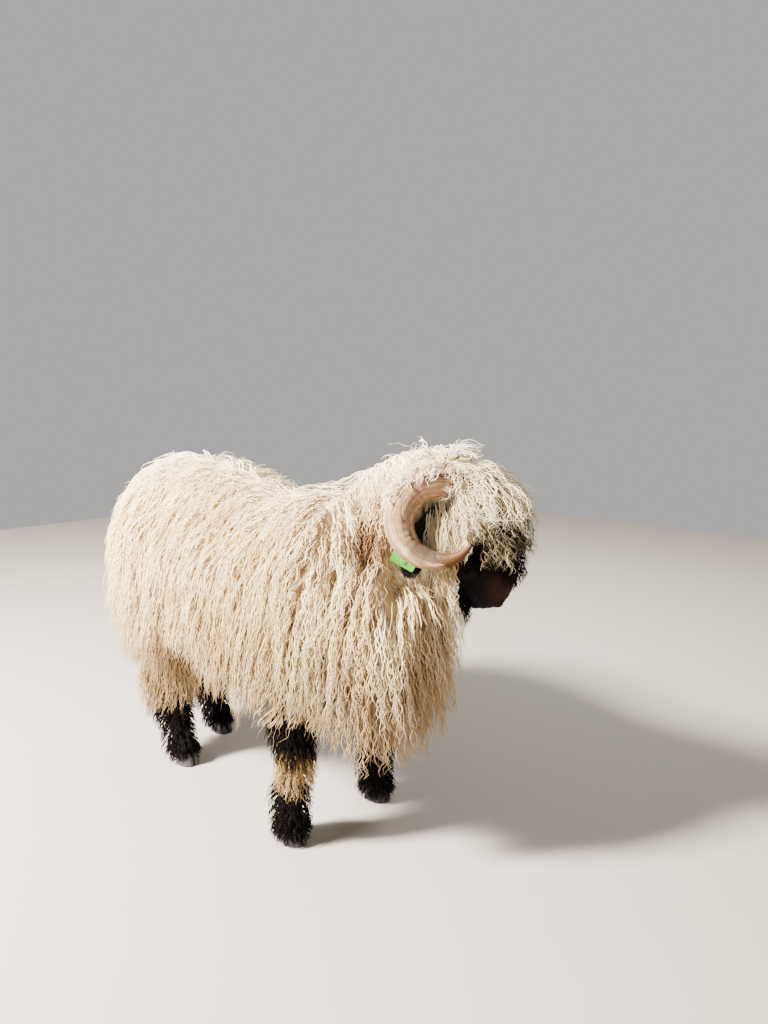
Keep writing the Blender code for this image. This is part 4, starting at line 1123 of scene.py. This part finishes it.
# Which wool grows where on the skin.
X, Y, Z = (skin_points - np.array(SHIFT)).T
skin_down, skin_brow, skin_left = head_places(skin_points)
on_skull = (skin_brow > -0.074) & (skin_down > -0.03) & (skin_down < 0.32) & (np.abs(skin_left) < 0.085)
near_leg = np.zeros(len(X), bool)
for name, foot in FEET.items():
    near_leg |= (np.hypot(skin_points[:, 0] - foot.x + 0.03, skin_points[:, 1] - foot.y) < 0.11) & (Z < 0.315)
on_tail = (X < -0.470) & (np.abs(Y) < 0.031) & (Z < 0.70) & (Z > 0.30) & ~((Z > 0.45) & (X > -0.503))
near_horn = ((skin_down - 0.105) / 0.110) ** 2 + ((skin_brow + 0.080) / 0.095) ** 2 < 1
near_horn &= (np.abs(skin_left) < 0.12) & (np.abs(skin_left) > 0.03)
nape = (Z > 0.765) & (X > 0.36) & ~on_skull
neck = (X + chance.normal(0, 0.022, len(X)) > 0.295) & ~on_skull & ~near_leg & ~nape
barrel = ~neck & ~on_skull & ~near_leg & ~on_tail & ~nape
facing = skin_normals[:, 2] > -0.75


# Fleece of the barrel: fine wavy wool that parts along the spine, falls down each side and ends in a hem below
# the belly.

BARREL_AXIS = (Vector((0, 0, 0.55)) + SHIFT, (1.0, 0.0, 0.0), -0.52, 0.86)
roots = spaced(barrel & facing, 0.0176)
x, y, z = X[roots], Y[roots], Z[roots]
ridge = np.exp(-((y / 0.045) ** 2)) * ramp(z, 0.60, 0.68)
lies = np.stack((-0.02 - 0.14 * ramp(-x, 0.2, 0.45) - 0.5 * ridge, np.tanh(y / 0.03) * 0.35
                 + ridge * chance.normal(0, 0.4, len(x)), np.full(len(x), -1.0)), axis=1)
lengths = 0.080 + 0.070 * ramp(-z, -0.72, -0.42) + chance.uniform(-0.015, 0.015, len(x))
notch = np.clip(0.19 - x, 0, 0.17) * 0.64 * ramp(x, -0.15, -0.09)
hem = 0.286 + notch + 0.045 * ramp(x, 0.18, 0.26) * ramp(-y, 0.05, 0.10)
lengths = np.minimum(lengths, np.maximum(z - hem + chance.uniform(-0.02, 0.02, len(x)), 0.03 - 0.12 * notch))
depth = 0.020 + 0.022 * ramp(-z, -0.76, -0.62)
grow("barrel_wool", roots, lies, lengths, 9, fleece_finish, "fleece", BARREL_AXIS, depth, 4, pale=1.0,
     spread=0.0115, width=0.0034, amplitude=0.0024 * chance.uniform(0.5, 1.5, len(x)), wavelength=0.042, cling=0.75,
     wander=0.009)

belly = barrel & (skin_normals[:, 2] < -0.60) & (Z < 0.40)
roots = spaced(belly, 0.0190)
lies = np.stack((np.full(len(roots), -0.6), chance.normal(0, 0.4, len(roots)), np.full(len(roots), -0.6)), axis=1)
grow("belly_wool", roots, lies, 0.030 + chance.uniform(-0.006, 0.006, len(roots)), 5, fleece_finish, "fleece", BARREL_AXIS,
     np.full(len(roots), 0.012), 3, pale=1.0, turned_under=-9, spread=0.010, width=0.0042, amplitude=0.003, wavelength=0.024,
     cling=0.9, loose=0.6)

# Long stringy locks of the neck and breast, which hang nearly to the knees.
NECK_AXIS = (Vector((0.42, 0.02, 0)) + SHIFT, (0.0, 0.0, 1.0), 0.25, 0.65)
roots = spaced(neck & facing, 0.0171)
x, y, z = X[roots], Y[roots], Z[roots]
pressed = near_horn[roots]
lies = np.stack((0.02 - 0.12 * ramp(-x, -0.42, -0.30), np.sign(y - 0.05) * 0.18, np.full(len(x), -1.0)), axis=1)
lengths = 0.150 + chance.uniform(-0.04, 0.045, len(x))
hem = 0.260 + 0.75 * np.maximum(0.0, 0.44 - x) + 0.050 * ramp(y, 0.0, 0.10)
lengths = np.minimum(lengths, np.maximum(z - hem + chance.uniform(-0.015, 0.04, len(x)), 0.04))
depth = np.where(pressed, 0.012, 0.036 + 0.016 * ramp(x, 0.45, 0.51) * ramp(-z, -0.66, -0.56))
grow("neck_wool", roots, lies, lengths, 18, fleece_finish, "fleece", NECK_AXIS, depth, 4, pale=1.0,
     spread=0.008, width=0.0034, amplitude=0.0042 * chance.uniform(0.5, 1.4, len(x)), wavelength=0.040, cling=0.25)


# Single fine hairs stand out of the coat everywhere and soften its edge.
roots = spaced((barrel | neck | nape) & facing & ~near_horn, 0.0178)
x, y, z = X[roots], Y[roots], Z[roots]
lies = np.stack((chance.normal(-0.1, 0.5, len(x)), np.tanh(y / 0.03) * 0.35 + chance.normal(0, 0.5, len(x)),
                 np.full(len(x), -1.0)), axis=1)
depth = (0.020 + 0.022 * ramp(-z, -0.76, -0.62)) + chance.uniform(0.0, 0.011, len(x))
lengths = depth * 1.2 + chance.uniform(0.01, 0.03, len(x))
grow("loose_hairs", roots, lies, lengths, 6, fleece_finish, "fleece", BARREL_AXIS, depth, 1, pale=1.0,
     spread=0.0, width=0.0013, amplitude=0.0035, wavelength=0.024, power=1.3)


# Curly wool of the head: a whorl of tight cream curls on the nape, and the forelock over the crown and brow,
# greyer towards the face, with a dark curly fringe over the eyes.

POLL_AXIS = (POLL, tuple(UP), -0.35, 0.50)
WHORL = np.array(Vector((0.492, 0.078, 0.86)) + SHIFT)
roots = spaced(nape, 0.0100)
away = skin_points[roots] - WHORL
lies = np.stack((away[:, 0] - away[:, 1] * 0.8, away[:, 1] + away[:, 0] * 0.8, -0.2 * np.ones(len(roots))), axis=1)
lies = unit(lies) + np.array((0, 0, -0.5))
lengths = 0.055 + chance.uniform(-0.01, 0.02, len(roots))
depth = 0.002 + 0.024 * ramp(X[roots], 0.462, 0.50)
grow("nape_curls", roots, lies, lengths, 15, fleece_finish, "fleece", POLL_AXIS, depth, 4,
     spread=0.007, width=0.0028, amplitude=0.0048, wavelength=0.021)

poll = (skin_down < 0.020) & (skin_brow < -0.010) & (X > 0.478) & (skin_normals[:, 2] > 0.1) & (nape | on_skull)
roots = spaced(poll, 0.0058)
lies = unit(skin_points[roots] - WHORL) * 0.3 + np.array(AHEAD) * 0.15 + chance.normal(0, 0.3, (len(roots), 3))
lengths = 0.045 + chance.uniform(-0.010, 0.010, len(roots))
grow("poll_curls", roots, lies, lengths, 16, fleece_finish, "fleece", POLL_AXIS,
     0.022 + 0.012 * ramp(X[roots], 0.482, 0.500) + chance.uniform(-0.012, 0.003, len(roots)), 4, pale=1.0, spread=0.008, width=0.0024, amplitude=0.0048,
     wavelength=0.021, loose=0.5, power=1.3)

crown = on_skull & (skin_down > -0.01) & (skin_down < 0.108) & (skin_brow > -0.074)
roots = spaced(crown, 0.0090)
d, b, l = skin_down[roots], skin_brow[roots], skin_left[roots]
temple = ramp(-b, -0.02, 0.02)
astray = chance.normal(0, 0.28, (len(roots), 3)) * (1 - 0.7 * temple)[:, None]
lies = (np.outer(np.ones(len(roots)), np.array(TO_NOSE)) + np.outer(l / 0.05, np.array(HEAD_LEFT)) * 0.45
        + np.outer(0.25 * (1 - temple), np.array(TO_BROW)) + astray)
lengths = np.clip(0.108 + 0.056 * temple - d, 0.040, 0.095) * 1.12 + chance.uniform(-0.012, 0.012, len(roots))
pale = 0.95 - 0.70 * ramp(d, 0.050, 0.096) * ramp(b, -0.01, 0.05) - 0.10 * temple + chance.normal(0, 0.08, len(roots))
depth = 0.026 + 0.022 * ramp(b, 0.02, 0.06) + 0.012 * ramp(d, 0.02, 0.06) * ramp(b, 0.0, 0.04) + 0.002 * temple
grow("forelock", roots, lies, lengths, 18, fleece_finish, "fleece", POLL_AXIS, depth, 4, pale=pale,
     over_ear=True, spread=0.009, width=0.0021, amplitude=0.0056 - 0.0028 * temple, wavelength=0.026, loose=0.7)

cheek = on_skull & (skin_down > -0.005) & (skin_down < 0.085) & (skin_brow < -0.018) & (skin_brow > -0.074)
roots = spaced(cheek & (np.abs(skin_left) > 0.03), 0.0078)
d = skin_down[roots]
lies = np.array(TO_NOSE + TO_BROW * 0.22) + chance.normal(0, 0.10, (len(roots), 3))
back = ramp(-skin_brow[roots], 0.040, 0.060)
lengths = np.clip(0.152 + 0.045 * back - d, 0.05, 0.16) + chance.uniform(-0.014, 0.010, len(roots))
grow("temple_wool", roots, lies, lengths, 14, fleece_finish, "fleece", POLL_AXIS,
     chance.uniform(0.026, 0.036, len(roots)), 3, pale=np.clip(chance.normal(0.78, 0.10, len(roots)), 0, 1),
     over_ear=True, spread=0.008, width=0.0024, amplitude=0.0028, wavelength=0.030, power=3.2)

fringe = on_skull & (skin_down >= 0.075) & (skin_down < 0.138) & (skin_brow > 0.028)
roots = spaced(fringe, 0.0082)
d, b, l = skin_down[roots], skin_brow[roots], skin_left[roots]
lies = (np.outer(np.ones(len(roots)), np.array(TO_NOSE)) + np.outer(l / 0.05, np.array(HEAD_LEFT)) * 0.3
        + np.outer(np.full(len(roots), 0.40), np.array(TO_BROW)) + chance.normal(0, 0.3, (len(roots), 3)))
lengths = np.clip(0.190 - d, 0.05, 0.09) + chance.uniform(-0.015, 0.02, len(roots))
grow("fringe", roots, lies, lengths, 18, black_finish, "black_wool", POLL_AXIS, np.full(len(roots), 0.036), 3,
     pale=np.clip(chance.normal(0.09, 0.16, len(roots)), 0, 1), over_ear=True, spread=0.008, width=0.0026, amplitude=0.0066,
     wavelength=0.030, loose=0.5)

# Wool is matted over the root of each horn and along the outer edge of its first quarter.
for word, side in SIDES.items():
    curl = bpy.data.objects["horn_" + word + "_curl"]
    points = points_of(curl.data)
    flat = np.empty(len(points) * 3, np.float32)
    curl.data.vertex_normals.foreach_get("vector", flat)
    normals = flat.reshape(-1, 3).astype(float)
    flat = np.empty(len(points), np.float32)
    curl.data.attributes["along"].data.foreach_get("value", flat)
    outer = unit(points - np.array(on_head(*HORN_CENTRE, side * 0.06)))
    outer = (outer * normals).sum(axis=1)
    rooted = (outer > 0.50 + 1.0 * flat) & (flat < 0.34)
    roots = spaced(rooted, 0.0075, points)
    lies = np.array(TO_NOSE * 0.4 - TO_BROW * 0.8) + chance.normal(0, 0.35, (len(roots), 3))
    grow("horn_" + word + "_wool", roots, lies, chance.uniform(0.022, 0.036, len(roots)), 10, fleece_finish, "fleece",
         POLL_AXIS, chance.uniform(0.004, 0.011, len(roots)), 3, 1.0, (points, normals, tree_of(curl)), -9,
         spread=0.007, width=0.0024, amplitude=0.0034, wavelength=0.021, loose=0.5)

# Cream wool also hangs from under the jaw, where the throat meets the neck.
throat = on_skull & (skin_down > 0.06) & (skin_down < 0.175) & (skin_brow < -0.038) & (np.abs(skin_left) < 0.058)
roots = spaced(throat, 0.0105)
lies = np.outer(np.ones(len(roots)), np.array(TO_NOSE * 1.0 - TO_BROW * 0.15)) + chance.normal(0, 0.1, (len(roots), 3))
lengths = 0.095 + chance.uniform(-0.02, 0.02, len(roots))
grow("throat_wool", roots, lies, lengths, 16, fleece_finish, "fleece", POLL_AXIS, np.full(len(roots), 0.016), 4,
     pale=0.9, spread=0.007, width=0.0032, amplitude=0.0036, wavelength=0.030)


# Short wool of the legs and tail, black on the boots, and the short black hair of the face.

LEG_AXIS = (Vector((0, 0, 0)) + SHIFT, (0.0, 0.0, 1.0), 0.0, 0.42)
for name, foot in FEET.items():
    mine = near_leg & (np.hypot(skin_points[:, 0] - foot.x + 0.03, skin_points[:, 1] - foot.y) < 0.11)
    roots = np.concatenate((spaced(mine & (Z > 0.06), 0.0084), spaced(mine & (Z < 0.062), 0.0054)))
    x, y, z = (skin_points[roots] - np.array(foot)).T
    hind = name.startswith("hind")
    lies = np.stack((x * 2, y * 2, np.full(len(x), -1.0)), axis=1)
    lengths = 0.036 + (0.050 if hind else 0.020) * ramp(z, 0.10, 0.26) + chance.uniform(-0.006, 0.010, len(x))
    lengths = np.minimum(lengths, np.maximum(z - 0.004 - chance.uniform(0, 0.010, len(x)), 0.02))
    depth = 0.021 + (0.014 if hind else 0.000) * ramp(z, 0.1, 0.26) - 0.006 * ramp(-z, -0.07, -0.04)
    hang = skin_points[roots] - np.stack((x * 0, x * 0, lengths * 0.85), axis=1)
    grow(name + "_wool", roots, lies, lengths, 6, black_finish, "black_wool", LEG_AXIS, depth, 3,
         pale=paleness(hang), spread=0.005, width=0.0034, amplitude=0.0036, wavelength=0.023, power=1.8, loose=0.6)

roots = spaced(on_tail, 0.010)
lies = np.stack((np.full(len(roots), -0.15), np.sign(Y[roots]) * 0.2, np.full(len(roots), -1.0)), axis=1)
lengths = 0.085 + chance.uniform(-0.01, 0.03, len(roots))
grow("tail_wool", roots, lies, lengths, 10, fleece_finish, "fleece", LEG_AXIS, np.full(len(roots), 0.012), 3,
     spread=0.005, width=0.0036, amplitude=0.0026, wavelength=0.028)

bare = on_skull & (skin_down > 0.095)
lip_line = np.array(lip_line)
lip_line = np.concatenate([lip_line[:-1] + (lip_line[1:] - lip_line[:-1]) * step for step in (0, 0.25, 0.5, 0.75)])
bald = [(spot, 0.0045) for spot in lip_line]
for side in SIDES.values():
    down, brow, apart = EYE_PLACE
    bald.append((np.array(on_head(down + 0.001, brow, side * (apart + EYE_RADIUS))), 0.0150))
    bald.append((np.array(on_head(0.2875, 0.0300, side * 0.0150)), 0.0110))
for spot, radius in bald:
    bare &= ((skin_points - spot) ** 2).sum(axis=1) > radius**2
woolly = bare & (skin_down + chance.normal(0, 0.008, len(X)) < 0.185 + 0.050 * ramp(skin_brow, 0.030, 0.050))
roots = spaced(woolly, 0.0072)
bridge_of_nose = ramp(skin_brow[roots], 0.036, 0.062) * ramp(-skin_down[roots], -0.250, -0.200)
lies = np.array(TO_NOSE * 0.8 - TO_BROW * 0.3) + chance.normal(0, 0.35, (len(roots), 3))
grow("cheek_curls", roots, lies, 0.022 + 0.016 * bridge_of_nose + chance.uniform(-0.005, 0.005, len(roots)), 8, black_finish,
     "black_wool", POLL_AXIS, 0.007 + 0.013 * bridge_of_nose, 2, pale=0.0, turned_under=-9, spread=0.004, width=0.0026,
     amplitude=0.0028, wavelength=0.017, loose=0.6)

roots = spaced(bare & (skin_down > 0.150), 0.0043)
d, b = skin_down[roots], skin_brow[roots]
lies = np.array(TO_NOSE * 0.8 - TO_BROW * 0.3) + np.outer(ramp(d, 0.25, 0.29), np.array(-TO_BROW * 0.6))
lengths = chance.uniform(0.006, 0.010, len(roots)) - 0.003 * ramp(d, 0.235, 0.27)
grow("face_hair", roots, lies, lengths, 3, black_finish, "black_wool", POLL_AXIS, np.full(len(roots), 0.0004), 2,
     turned_under=-9, spread=0.0018, width=0.0015, amplitude=0.0003, wavelength=0.02, sink=0.0005, wander=0.0008)

for word, side in SIDES.items():
    leaf = bpy.data.objects["ear_" + word + "_leaf"]
    points = points_of(leaf.data)
    flat = np.empty(len(points) * 3, np.float32)
    leaf.data.vertex_normals.foreach_get("vector", flat)
    normals = flat.reshape(-1, 3).astype(float)
    roots = spaced(np.ones(len(points), bool), 0.0042, points)
    down_ear = np.array((on_head(0.197, -0.138, side * 0.060) - on_head(0.084, -0.072, side * 0.0505)).normalized())
    grow("ear_" + word + "_hair", roots, down_ear + chance.normal(0, 0.15, (len(roots), 3)),
         chance.uniform(0.009, 0.015, len(roots)), 4, black_finish, "black_wool", POLL_AXIS,
         np.full(len(roots), 0.0028), 2, 0.0, (points, normals, tree_of(leaf)), -9, spread=0.002, width=0.0014,
         amplitude=0.0006, wavelength=0.02, sink=0.0006, wander=0.001)

throat = on_skull & (skin_down > 0.240) & (skin_down < 0.275) & (skin_brow < -0.022) & (np.abs(skin_left) < 0.020)
roots = spaced(throat, 0.0045)
lies = np.outer(np.ones(len(roots)), np.array(TO_NOSE)) + chance.normal(0, 0.2, (len(roots), 3))
lengths = 0.042 + chance.uniform(-0.02, 0.020, len(roots))
grow("throat_tuft", roots, lies, lengths, 14, black_finish, "black_wool", POLL_AXIS, np.full(len(roots), 0.006), 3,
     pale=0.0, spread=0.003, width=0.0024, amplitude=0.0036, wavelength=0.022)
